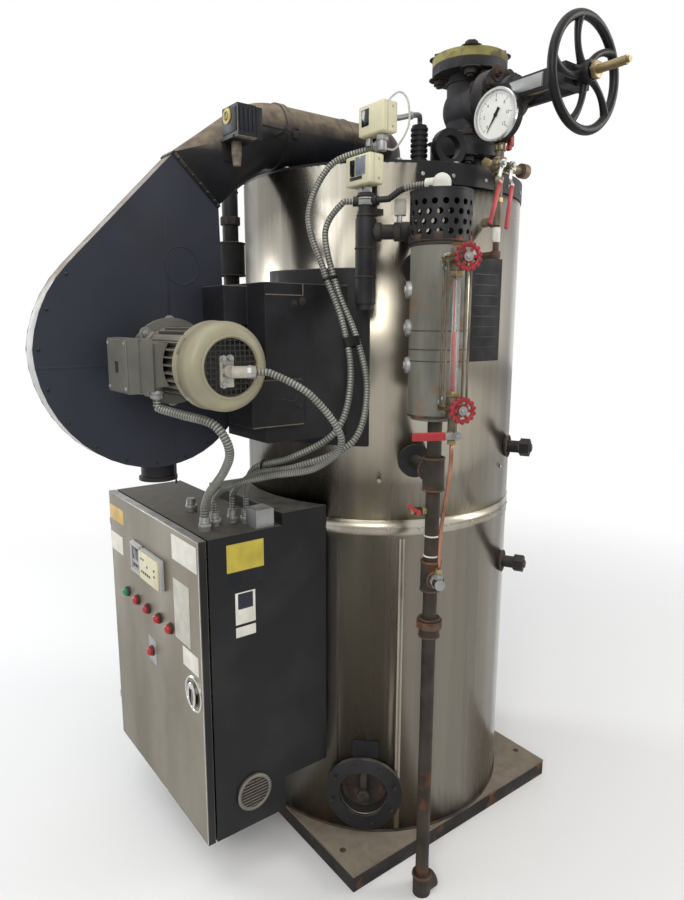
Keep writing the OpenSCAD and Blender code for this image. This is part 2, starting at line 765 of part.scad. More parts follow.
// Cable entries along the cabinet's top, and the small junction box beside them
gland_pts = [for (p = [[77, 58], [102, 83], [102, 133], [79, 171], [262, 123]])
    [cab_x - p[0], -cab_back - p[1]]];
module cable_glands() color([0.62, 0.62, 0.6]) {
    for (p = gland_pts) translate([p[0], p[1], cab_top]) {
        cylinder(d = 30, h = 8);
        cylinder(d = 24, h = 34);
    }
    translate([cab_x - 62, -cab_back - 68, cab_top]) cube([52, 50, 46]);
}

// The door is hinged on its left edge, away from the valve side
module cabinet_door() color([0.62, 0.58, 0.52]) {
    translate([cab_x - cab_w, -cab_front, cab_z]) cube([cab_w, door_t, cab_h]);
    at_hinges() translate([0, 0, hinge_h + seat]) difference() {
        union() {
            cylinder(d = hinge_d, h = hinge_h);
            translate([-hinge_d / 2, -door_t, 0]) cube([hinge_d, door_t - door_gap, hinge_h]);
        }
        translate([0, 0, -over]) cylinder(d = hinge_pin_d + 2 * seat, h = hinge_h);
    }
}

// The two controllers and the pilot lights, measured from the door's lower left corner
module door_controls() color([0.8, 0.78, 0.7]) translate([cab_x - cab_w, -cab_front, cab_z]) {
    translate([190, -12, cab_h - 190]) cube([72, 12, 88]);
    translate([272, -18, cab_h - 188]) cube([132, 18, 84]);
    for (k = [0:4]) translate([124 + pilot_pitch * k, 0, cab_h - 278]) rotate([90, 0, 0])
        cylinder(d = pilot_d, h = 18);
    translate([297, 0, cab_h - 394]) rotate([90, 0, 0]) cylinder(d = pilot_d, h = 18);
}

module door_handle() color([0.2, 0.2, 0.2])
    translate([cab_x - 52, -cab_front, cab_top - 402]) rotate([90, 0, 0]) {
    linear_extrude(4) difference() {
        union() {
            translate([0, 20]) circle(d = 56);
            translate([0, -20]) circle(d = 56);
            translate([-28, -20]) square([56, 40]);
        }
    }
    translate([-9, -36, 4]) cube([18, 72, 8]);
}

// HANDHOLE
module handhole_ring() color([0.13, 0.13, 0.13]) intersection() {
    handhole_axis() translate([casing_r - 60, 0, 0]) difference() {
        bar_x(handhole_d, 120);
        translate([-over, 0, 0]) bar_x(handhole_bore, 120 + 2 * over);
    }
    difference() {
        cylinder(r = casing_r + seat + handhole_t, h = handhole_z + handhole_d);
        translate([0, 0, -over]) cylinder(r = casing_r + seat, h = handhole_z + handhole_d + 2 * over);
    }
}

module handhole_cover() color([0.35, 0.22, 0.14]) handhole_axis() {
    translate([casing_r - 59, 0, 0]) bar_x(handhole_bore - 6, 30);
    translate([casing_r - 30, 0, 0]) bar_x(20, 62);
    translate([casing_r + handhole_t + seat, -11, -handhole_bore / 2 - 10])
        cube([14, 22, handhole_bore + 20]);
    translate([casing_r + handhole_t + 14, 0, 0]) hex_x(30, 14);
}

// WATER COLUMN
module at_column(z) translate([column_pt[0], column_pt[1], z]) rotate([0, 0, column_az - 90]) children();

module water_column() color([0.42, 0.44, 0.44]) at_column(column_z) {
    cylinder(d = column_d - 14, h = 12);
    translate([0, 0, 8]) cylinder(d = column_d, h = column_h - 8);
}

// The perforated guard over the column's probes, with its flat lid
module probe_cage() color([0.08, 0.08, 0.08]) at_column(column_top) {
    difference() {
        tube(cage_d, cage_d - 6, cage_h);
        for (row = [0:3], k = [0:17]) translate([0, 0, 20 + 20 * row])
            rotate([0, 0, 20 * k + 10 * (row % 2)]) translate([cage_d / 2 - 9, 0, 0]) bar_x(cage_hole_d, 18);
    }
    translate([0, 0, cage_h]) cylinder(d = cage_d + 2, h = 4);
    translate([0, 0, cage_h + 3]) cylinder(d = 34, h = 6);
}

// The elbow plug on the guard's lid, turned towards the switches
module probe_plug() color([0.75, 0.73, 0.68])
    translate([column_pt[0], column_pt[1], column_top + cage_h + 9 + seat]) {
    cylinder(d = 40, h = 14);
    translate([0, 0, 14]) intersection() {
        sphere(d = 40);
        translate([-20, -20, -over]) cube([40, 40, 21]);
    }
    translate([0, 0, 14]) rotate([0, 90, 180 + atan2(5, 12)]) cylinder(d = 24, h = 35.6);
}

module column_pipes() color([0.22, 0.22, 0.22]) difference() {
    union() {
        at_azimuth(column_az) {
            for (z = [upper_pipe_z, lower_pipe_z]) translate([casing_r - 30, 0, z]) bar_x(rosette_d, 44);
            translate([casing_r, 0, upper_pipe_z]) bar_x(pipe_d, column_r - casing_r - column_d / 2 - seat);
            translate([casing_r, 0, lower_pipe_z]) bar_x(pipe_d, column_r - casing_r - tee_l - seat);
        }
    }
    casing_cut();
}

// The pipe from the column's foot down to the floor, with its fittings
tee_l = 42;
cock_z = 1226;
cock_l = 24;
drain_tee_x = 58;
sample_z = 1028;
module drain_leg() color([0.3, 0.24, 0.2]) at_column(0) {
    translate([0, 0, 46]) cylinder(d = pipe_d, h = column_z - 46);
    translate([0, 0, lower_pipe_z - 36]) cylinder(d = 50, h = 72);
    translate([-tee_l, 0, lower_pipe_z]) bar_x(50, tee_l);
    translate([0, 0, 832]) cylinder(d = 48, h = 74);
    translate([0, 0, 869]) bar_x(40, 36);
    translate([0, 0, 869]) bar_x(26, drain_tee_x + 10);
    translate([drain_tee_x, 0, 869]) cylinder(d = 18, h = 23 - seat);
    translate([0, 0, 716]) cylinder(d = 50, h = 46);
    translate([0, 0, 738]) cylinder(d = 58, h = 20);
    rotate([0, 0, 90 - column_az]) difference() {
        union() {
            cylinder(d = 46, h = 58);
            translate([0, 0, 23]) rotate([-90, 0, 0]) cylinder(d = 46, h = 36);
        }
        translate([0, 16, 23]) rotate([-90, 0, 0]) cylinder(d = pipe_d, h = 20 + over);
    }
    translate([0, 0, sample_z]) rotate([90, 0, 0]) cylinder(d = 18, h = 46);
    translate([0, -38, sample_z]) bar_x(10, 12);
}

// The two gauge valves, joined by the glass guard's four rods
module gauge_valves() color([0.6, 0.5, 0.32]) {
    for (z = [glass_low_z, glass_top_z]) at_column(z) {
        translate([column_d / 2 + seat, 0, 0]) bar_x(22, hand_off - column_d / 2 - 24 - seat);
        translate([glass_off, 0, 0]) cylinder(d = 30, h = 44, center = true);
        translate([glass_off + 14, 0, 0]) hex_x(26, 16);
        translate([glass_off, 0, 0]) cube([34, 56, 8], center = true);
    }
    at_column(cock_z) translate([glass_off, 0, 0]) {
        translate([0, 0, -14]) cylinder(d = 20, h = glass_low_z - cock_z);
        bar_x(14, cock_l);
    }
    at_column(glass_low_z) for (sx = [-1, 1], sy = [-1, 1])
        translate([glass_off + 13 * sx, 24 * sy, 0]) cylinder(d = 5, h = glass_top_z - glass_low_z);
}

module gauge_glass() color([0.7, 0.8, 0.8]) at_column(0) translate([glass_off, 0, glass_low_z + 22 + seat])
    cylinder(d = glass_d, h = glass_top_z - glass_low_z - 44 - 2 * seat);

module small_wheel() rotate([0, 90, 0]) {
    rotate_extrude() translate([small_wheel_d / 2 - 4, 0]) circle(d = 8);
    cylinder(d = 16, h = 12, center = true);
    translate([0, 0, seat - 24]) cylinder(d = 9, h = 20);
    for (i = [0:5]) rotate([0, 90, 60 * i]) cylinder(d = 6, h = small_wheel_d / 2 - 4);
}

module upper_wheel() color([0.65, 0.06, 0.08])
    at_column(glass_top_z) translate([hand_off, 0, 0]) small_wheel();
module lower_wheel() color([0.65, 0.06, 0.08])
    at_column(glass_low_z) translate([hand_off, 0, 0]) small_wheel();

// The copper drain pipe of the gauge glass
tube_pts = [[115, 0, 1211.7], [115, 0, 1190], [113, 0, 1150], [98, 0, 1095], [76, 0, 1040], [62, 0, 990],
    [58, 0, 940], [58, 0, 892]];
module drain_tube() color([0.5, 0.32, 0.22]) at_column(0) sweep(tube_pts, 9, 8);

// PRESSURE GAUGE
module at_gauge(z) translate([gauge_pt[0], gauge_pt[1], z]) children();

// The pipe out of the casing, its cross and the gauge's stem
cross_z = gauge_z - 110;
siphon_z = gauge_z - 236;
cock_pitch = cock_gap / 2;
cock_out = 20;
module gauge_siphon() color([0.5, 0.42, 0.26]) difference() {
    union() {
        at_azimuth(gauge_az) translate([casing_r - 20, 0, siphon_z]) bar_x(22, gauge_r - casing_r + 20);
        at_gauge(siphon_z - 10) cylinder(d = 21, h = gauge_z - gauge_d / 2 - siphon_z + 10 - seat);
        at_gauge(cross_z + 34) cylinder(d = 26 / cos(30), h = 14, $fn = 6);
        at_gauge(cross_z - 16) cylinder(d = 32, h = 32);
        at_gauge(cross_z) translate([0, -40, 0]) rotate([-90, 0, 0]) cylinder(d = 20, h = 120);
        at_gauge(cross_z) translate([0, 80, 0]) rotate([-90, 0, 0]) cylinder(d = 34, h = 20);
        at_gauge(cross_z) for (s = [-1, 1]) translate([0, cock_pitch * s, 0]) {
            sphere(d = 27);
            bar_x(12, cock_out - seat);
        }
    }
    casing_cut(seat + band_t + seat);
}

module pressure_gauge() color([0.85, 0.85, 0.82]) at_gauge(gauge_z) rotate([90, 0, 5]) {
    difference() {
        translate([0, 0, -3]) cylinder(d = gauge_d, h = 29);
        translate([0, 0, 22]) cylinder(d = gauge_d - 12, h = 5);
    }
}

// A cock's lever: a shank that steps outwards, and the straight grip below it
module lever(a) rotate([a, 0, 0]) {
    crank_z = 34;
    crank_out = 9;
    bar_x(17, 8);
    translate([0, 6, 0]) rotate([90, 0, 0]) linear_extrude(12)
        polygon([[3, 0], [3, -crank_z], [3 + crank_out, -crank_z - 11], [3 + crank_out, -60],
                 [6 + crank_out, -60], [6 + crank_out, -crank_z - 10], [6, -crank_z + 1], [6, 0]]);
    translate([2 + crank_out, -6.5, -lever_l]) cube([5, 13, lever_l - crank_z - 12]);
}

module left_lever() color([0.7, 0.1, 0.1])
    at_gauge(cross_z) translate([cock_out, -cock_pitch, 0]) lever(-18);
module right_lever() color([0.7, 0.1, 0.1]) at_gauge(cross_z) translate([cock_out, cock_pitch, 0]) lever(-8);
module column_lever() color([0.7, 0.1, 0.1]) at_column(cock_z) translate([glass_off + cock_l + seat, 0, 0]) {
    bar_x(18, 9);
    translate([3, -95, -9]) cube([4, 95, 18]);
}
module sample_lever() color([0.7, 0.1, 0.1])
    at_column(sample_z) translate([12 + seat, -38, 0]) rotate([-35, 0, 0]) {
    bar_x(12, 6);
    translate([2, -34, -4]) cube([3, 34, 8]);
}

// PRESSURE SWITCHES
module at_switch(z) translate([switch_pt[0], switch_pt[1], z]) rotate([0, 0, switch_az - 90]) children();

box_w = 88;
box_d = 42;
box_h = 65;
// Clearance between the arm's elbow and the probe guard
arm_gap = 25;
arm_l = norm(column_pt - switch_pt) - cage_d / 2 - arm_gap;
module switch_manifold() color([0.07, 0.07, 0.08]) difference() {
    union() {
        at_switch(switch_z - 262) cylinder(d = switch_pipe_d + 12, h = 190);
        at_switch(switch_z - 276) cylinder(d = switch_pipe_d + 4, h = 220);
        at_switch(switch_z - 57) cylinder(d = switch_pipe_d, h = 40);
        at_switch(switch_z - 35) rotate([0, 0, -switch_az + 90]) {
            rotate([0, 90, 180 + atan2(4, 3)]) cylinder(d = 22, h = 30);
            rotate([0, 90, atan2(5, 12)]) cylinder(d = 22, h = 30);
        }
        at_switch(switch_z - 102) {
            rotate([-90, 0, 0]) cylinder(d = pipe_d, h = arm_l);
            translate([0, arm_l, 0]) sphere(d = 44);
            translate([0, arm_l, 0]) rotate([0, -90, 0]) cylinder(d = pipe_d, h = 100);
        }
        translate([switch_pt[0], switch_pt[1], switch_z]) {
            for (x = [-24, 0]) translate([x, 5, -36]) cylinder(d = 16, h = 36 - seat);
            translate([-32, -3, -40]) cube([44, 16, 16]);
            translate([-16, 37, -62]) cylinder(d = 14, h = 62 + switch_step - seat);
            translate([-28, 13, -62]) cube([36, 32, 14]);
        }
    }
    casing_cut(seat + band_t + seat);
}

// The two switch housings, with the upper one's cable entry below it
module pressure_switches() color([0.82, 0.8, 0.62]) translate([switch_pt[0], switch_pt[1], switch_z]) {
    translate([-56, -17, 0]) cube([box_w, box_d, box_h]);
    translate([-35, 3, switch_step]) cube([box_w, box_d, box_h]);
    translate([26, 23, switch_step - 35]) cylinder(d = 24, h = 36);
    translate([4, 23, switch_step - 23]) bar_x(20, 22);
}

// REAR AND SIDE FITTINGS
module flue_collar() color([0.55, 0.55, 0.53]) difference() {
    translate([0, 0, flue_z]) at_azimuth(180) difference() {
        union() {
            translate([casing_r - 20, 0, 0]) bar_x(flue_d, flue_l + 20);
            translate([casing_r - 20, 0, 0]) bar_x(flue_d + 60, 26);
        }
        translate([casing_r - 10, 0, 0]) bar_x(flue_d - 6, flue_l + 20);
    }
    casing_cut();
}

module side_stub() color([0.12, 0.12, 0.12]) difference() {
    for (z = [stub_high_z, stub_low_z]) translate([0, 0, z]) at_azimuth(stub_az) {
        translate([casing_r - 20, 0, 0]) bar_x(60, 26);
        translate([casing_r - 20, 0, 0]) bar_x(34, 62);
        translate([casing_r + 42, 0, 0]) hex_x(44, 26);
    }
    casing_cut();
}

// CONDUITS
// A smooth curve through hand-chosen points, cut into rings for the tube
function mix(a, b, c, d, t) = 0.5 * ((2 * b) + (c - a) * t + (2 * a - 5 * b + 4 * c - d) * t * t
    + (3 * b - a - 3 * c + d) * t * t * t);
function curve(p, n) = concat([p[0]], [for (i = [1:len(p) - 3], k = [0:n - 1])
    mix(p[i - 1], p[i], p[i + 1], p[i + 2], k / n)], [p[len(p) - 2], p[len(p) - 1]]);
function unit(v) = v / norm(v);
function heading(c, i) = unit(c[min(i + 1, len(c) - 1)] - c[max(i - 1, 0)]);
function first_side(h) = abs(h[2]) > 0.9 ? unit(cross([0, 1, 0], h)) : unit(cross([0, 0, 1], h));
function side_at(c, i) = i == 0 ? first_side(heading(c, 0))
    : let (h = heading(c, i), s = side_at(c, i - 1)) unit(s - (s * h) * h);

module sweep(path, d, sides) {
    rings = len(path);
    pts = [for (i = [0:rings - 1]) let (h = heading(path, i), s = side_at(path, i), u = cross(h, s))
        for (k = [0:sides - 1]) path[i] + d / 2 * (s * cos(360 / sides * k) + u * sin(360 / sides * k))];
    faces = concat([[for (k = [0:sides - 1]) k]],
        [for (i = [0:rings - 2], k = [0:sides - 1]) let (a = i * sides, n = (k + 1) % sides)
            [a + k, a + sides + k, a + sides + n, a + n]],
        [[for (k = [sides - 1:-1:0]) (rings - 1) * sides + k]]);
    polyhedron(pts, faces);
}

sensor_pts = [[402, -658.5, 1358], [417, -638.5, 1358], [470, -570, 1310], [482, -505, 1215],
    [395, -512, 1143],
    [270, -552, 1108], [160, -598, 1070], [100, -610, 1025], [100, -610, 994.3]];
terminal_pts = [[185, -778, 1293.7], [185, -778, 1275], [235, -748, 1262], [310, -708, 1245],
    [318, -678, 1190],
    [255, -660, 1130], [160, -652, 1060], [123, -648, 1015], [123, -648, 994.3]];
upper_pts = [[329.7, -296, 1846], [300, -296, 1846], [236, -356, 1813], [230, -412, 1700], [275, -402, 1575],
    [328, -385, 1450], [370, -395, 1330], [385, -445, 1220], [300, -508, 1152], [185, -545, 1110],
    [125, -535, 1030], [125, -535, 994.3]];
lower_pts = [[307.8, -343.3, 1727], [295.8, -359.3, 1727], [268, -392, 1660], [295, -378, 1535],
    [350, -360, 1415],
    [398, -370, 1300], [420, -430, 1195], [320, -510, 1134], [200, -555, 1100], [100, -560, 1030],
    [100, -560, 994.3]];
probe_pts = [[462.5, -263, 1750], [438.5, -273, 1750], [408, -286, 1744], [378, -298, 1728],
    [354, -308, 1728]];

module sensor_conduit() color([0.5, 0.5, 0.47]) sweep(curve(sensor_pts, 2), conduit_d, 8);
module terminal_conduit() color([0.5, 0.5, 0.47]) sweep(curve(terminal_pts, 2), motor_conduit_d, 8);
module upper_conduit() color([0.5, 0.5, 0.47]) sweep(curve(upper_pts, 2), conduit_d, 8);
module lower_conduit() color([0.5, 0.5, 0.47]) sweep(curve(lower_pts, 2), conduit_d, 8);
module probe_conduit() color([0.5, 0.5, 0.47]) sweep(curve(probe_pts, 2), conduit_d, 8);

base_frame();
base_deck();
boiler_core();
jacket_lower();
jacket_upper();
top_plate();
top_band();
valve_body();
valve_bonnet();
companion_flange();
burner_head();
burner_duct();
duct_elbow();
scroll_plates();
scroll_wrap();
fan_inlet();
motor_body();
motor_cowl();
motor_grille();
terminal_box();
speed_sensor();
blower_bracket();
damper_actuator();
gas_train();
cabinet_body();
cabinet_mount();
control_gear();
cable_glands();
handhole_ring();
handhole_cover();
water_column();
probe_cage();
probe_plug();
column_pipes();
drain_leg();
gauge_valves();
gauge_glass();
drain_tube();
gauge_siphon();
pressure_gauge();
switch_manifold();
pressure_switches();
flue_collar();
side_stub();
cabinet_door();
door_controls();
door_handle();
handwheel();
valve_stem();
upper_wheel();
lower_wheel();
left_lever();
right_lever();
column_lever();
sample_lever();
sensor_conduit();
terminal_conduit();
upper_conduit();
lower_conduit();
probe_conduit();
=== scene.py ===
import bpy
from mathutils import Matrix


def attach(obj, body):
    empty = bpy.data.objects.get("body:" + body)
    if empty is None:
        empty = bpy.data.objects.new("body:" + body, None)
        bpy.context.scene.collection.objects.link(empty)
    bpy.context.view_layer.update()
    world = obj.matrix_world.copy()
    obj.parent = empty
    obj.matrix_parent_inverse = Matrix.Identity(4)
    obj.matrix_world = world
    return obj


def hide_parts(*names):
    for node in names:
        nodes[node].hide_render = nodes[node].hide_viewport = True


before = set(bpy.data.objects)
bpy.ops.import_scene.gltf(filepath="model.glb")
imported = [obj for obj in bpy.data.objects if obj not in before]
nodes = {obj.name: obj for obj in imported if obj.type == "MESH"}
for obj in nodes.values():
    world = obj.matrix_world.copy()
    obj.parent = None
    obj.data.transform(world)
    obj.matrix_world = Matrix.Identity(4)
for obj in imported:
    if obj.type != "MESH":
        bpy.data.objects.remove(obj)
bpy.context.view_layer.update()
import math

import bmesh
import bpy
from mathutils import Matrix, Vector, noise

scene = bpy.context.scene
scene.view_settings.view_transform = "Standard"

# Camera, floor and light
camera = {
    "place": (1.57497, -1.33111, 1.45085),
    "turn": 52.869,       # degrees from +Y towards -X
    "dip": 10.535,
    "roll": -0.216,
    "lens": 26.887,       # mm on a 36 mm sensor's long side
}
studio = {
    "floor": (0.93, 0.925, 0.915),
    "sky": (0.78, 0.80, 0.84),
    "skyLevel": 0.50,
    "backdrop": 1.0,
    "fade": (1.2, 3.6),   # metres from the object over which the floor turns into the backdrop
    "lamps": [
        # place, aimed at, size, watts, colour
        ((3.4, -3.6, 3.6), (0.0, -0.1, 1.0), (2.2, 2.6), 105, (1.0, 0.98, 0.94)),
        ((-3.4, -2.2, 2.2), (0.0, -0.3, 1.1), (1.0, 3.2), 72, (0.96, 0.98, 1.0)),
        ((2.6, 2.8, 2.6), (0.1, 0.0, 1.3), (1.2, 2.4), 60, (1.0, 0.97, 0.92)),
        ((0.4, -1.4, 4.6), (0.0, -0.2, 1.2), (2.6, 2.6), 52, (1.0, 1.0, 1.0)),
    ],
}


def makeCamera(c):
    a, e, r = (math.radians(c[k]) for k in ("turn", "dip", "roll"))
    forward = Vector((-math.sin(a) * math.cos(e), math.cos(a) * math.cos(e), -math.sin(e)))
    level = forward.cross(Vector((0, 0, 1))).normalized()
    down = forward.cross(level)
    right = level * math.cos(r) + down * math.sin(r)
    up = right.cross(forward)
    eye = bpy.data.objects.new("camera", bpy.data.cameras.new("camera"))
    eye.matrix_world = Matrix((right, up, -forward)).transposed().to_4x4()
    eye.location = c["place"]
    eye.data.lens = c["lens"]
    eye.data.sensor_width = 36
    eye.data.clip_start = 0.05
    scene.collection.objects.link(eye)
    scene.camera = eye


def makeFloorPaint(s):
    # plain pale paint that turns into the backdrop away from the object, for what the camera sees
    pale = bpy.data.materials.new("floorPaint")
    pale.use_nodes = True
    n, link = pale.node_tree.nodes, pale.node_tree.links
    n["Principled BSDF"].inputs["Base Color"].default_value = (*s["floor"], 1)
    n["Principled BSDF"].inputs["Roughness"].default_value = 0.85
    far, seen = n.new("ShaderNodeEmission"), n.new("ShaderNodeLightPath")
    far.inputs["Color"].default_value = (*[s["backdrop"]] * 3, 1)
    where, reach = n.new("ShaderNodeTexCoord"), n.new("ShaderNodeVectorMath")
    span = n.new("ShaderNodeMapRange")
    reach.operation, span.interpolation_type = "LENGTH", "SMOOTHSTEP"
    span.inputs["From Min"].default_value, span.inputs["From Max"].default_value = s["fade"]
    share, mix = n.new("ShaderNodeMath"), n.new("ShaderNodeMixShader")
    share.operation = "MULTIPLY"
    link.new(where.outputs["Object"], reach.inputs[0])
    link.new(reach.outputs["Value"], span.inputs["Value"])
    link.new(span.outputs["Result"], share.inputs[0])
    link.new(seen.outputs["Is Camera Ray"], share.inputs[1])
    link.new(share.outputs[0], mix.inputs[0])
    link.new(n["Principled BSDF"].outputs[0], mix.inputs[1])
    link.new(far.outputs[0], mix.inputs[2])
    link.new(mix.outputs[0], n["Material Output"].inputs["Surface"])
    return pale


def makeStudio(s):
    world = scene.world or bpy.data.worlds.new("studio")
    scene.world = world
    world.use_nodes = True
    n, link = world.node_tree.nodes, world.node_tree.links
    n.clear()
    out = n.new("ShaderNodeOutputWorld")
    lit, seen = n.new("ShaderNodeBackground"), n.new("ShaderNodeBackground")
    mix = n.new("ShaderNodeMixShader")
    path = n.new("ShaderNodeLightPath")
    shown = []
    for ray in ("Is Camera Ray", "Is Glossy Ray", "Is Transmission Ray"):
        either = n.new("ShaderNodeMath")
        either.operation = "MAXIMUM"
        either.inputs[1].default_value = 0
        link.new(path.outputs[ray], either.inputs[0])
        if shown:
            link.new(shown[-1], either.inputs[1])
        shown.append(either.outputs[0])
    lit.inputs["Color"].default_value = (*s["sky"], 1)
    lit.inputs["Strength"].default_value = s["skyLevel"]
    seen.inputs["Color"].default_value = (*[s["backdrop"]] * 3, 1)
    link.new(shown[-1], mix.inputs[0])
    link.new(lit.outputs[0], mix.inputs[1])
    link.new(seen.outputs[0], mix.inputs[2])
    link.new(mix.outputs[0], out.inputs["Surface"])

    bm = bmesh.new()
    bmesh.ops.create_grid(bm, x_segments=1, y_segments=1, size=14)
    floor = bpy.data.objects.new("floor", bpy.data.meshes.new("floor"))
    bm.to_mesh(floor.data)
    bm.free()
    scene.collection.objects.link(floor)
    floor.data.materials.append(makeFloorPaint(s))

    for i, (place, aim, size, watts, colour) in enumerate(s["lamps"]):
        lamp = bpy.data.lights.new(f"softbox{i}", "AREA")
        lamp.shape, lamp.size, lamp.size_y = "RECTANGLE", *size
        lamp.energy, lamp.color = watts, colour
        holder = bpy.data.objects.new(f"softbox{i}", lamp)
        holder.location = place
        holder.rotation_euler = (Vector(aim) - Vector(place)).to_track_quat("-Z", "Y").to_euler()
        scene.collection.objects.link(holder)


makeCamera(camera)
makeStudio(studio)
print("stage: camera, floor and light")

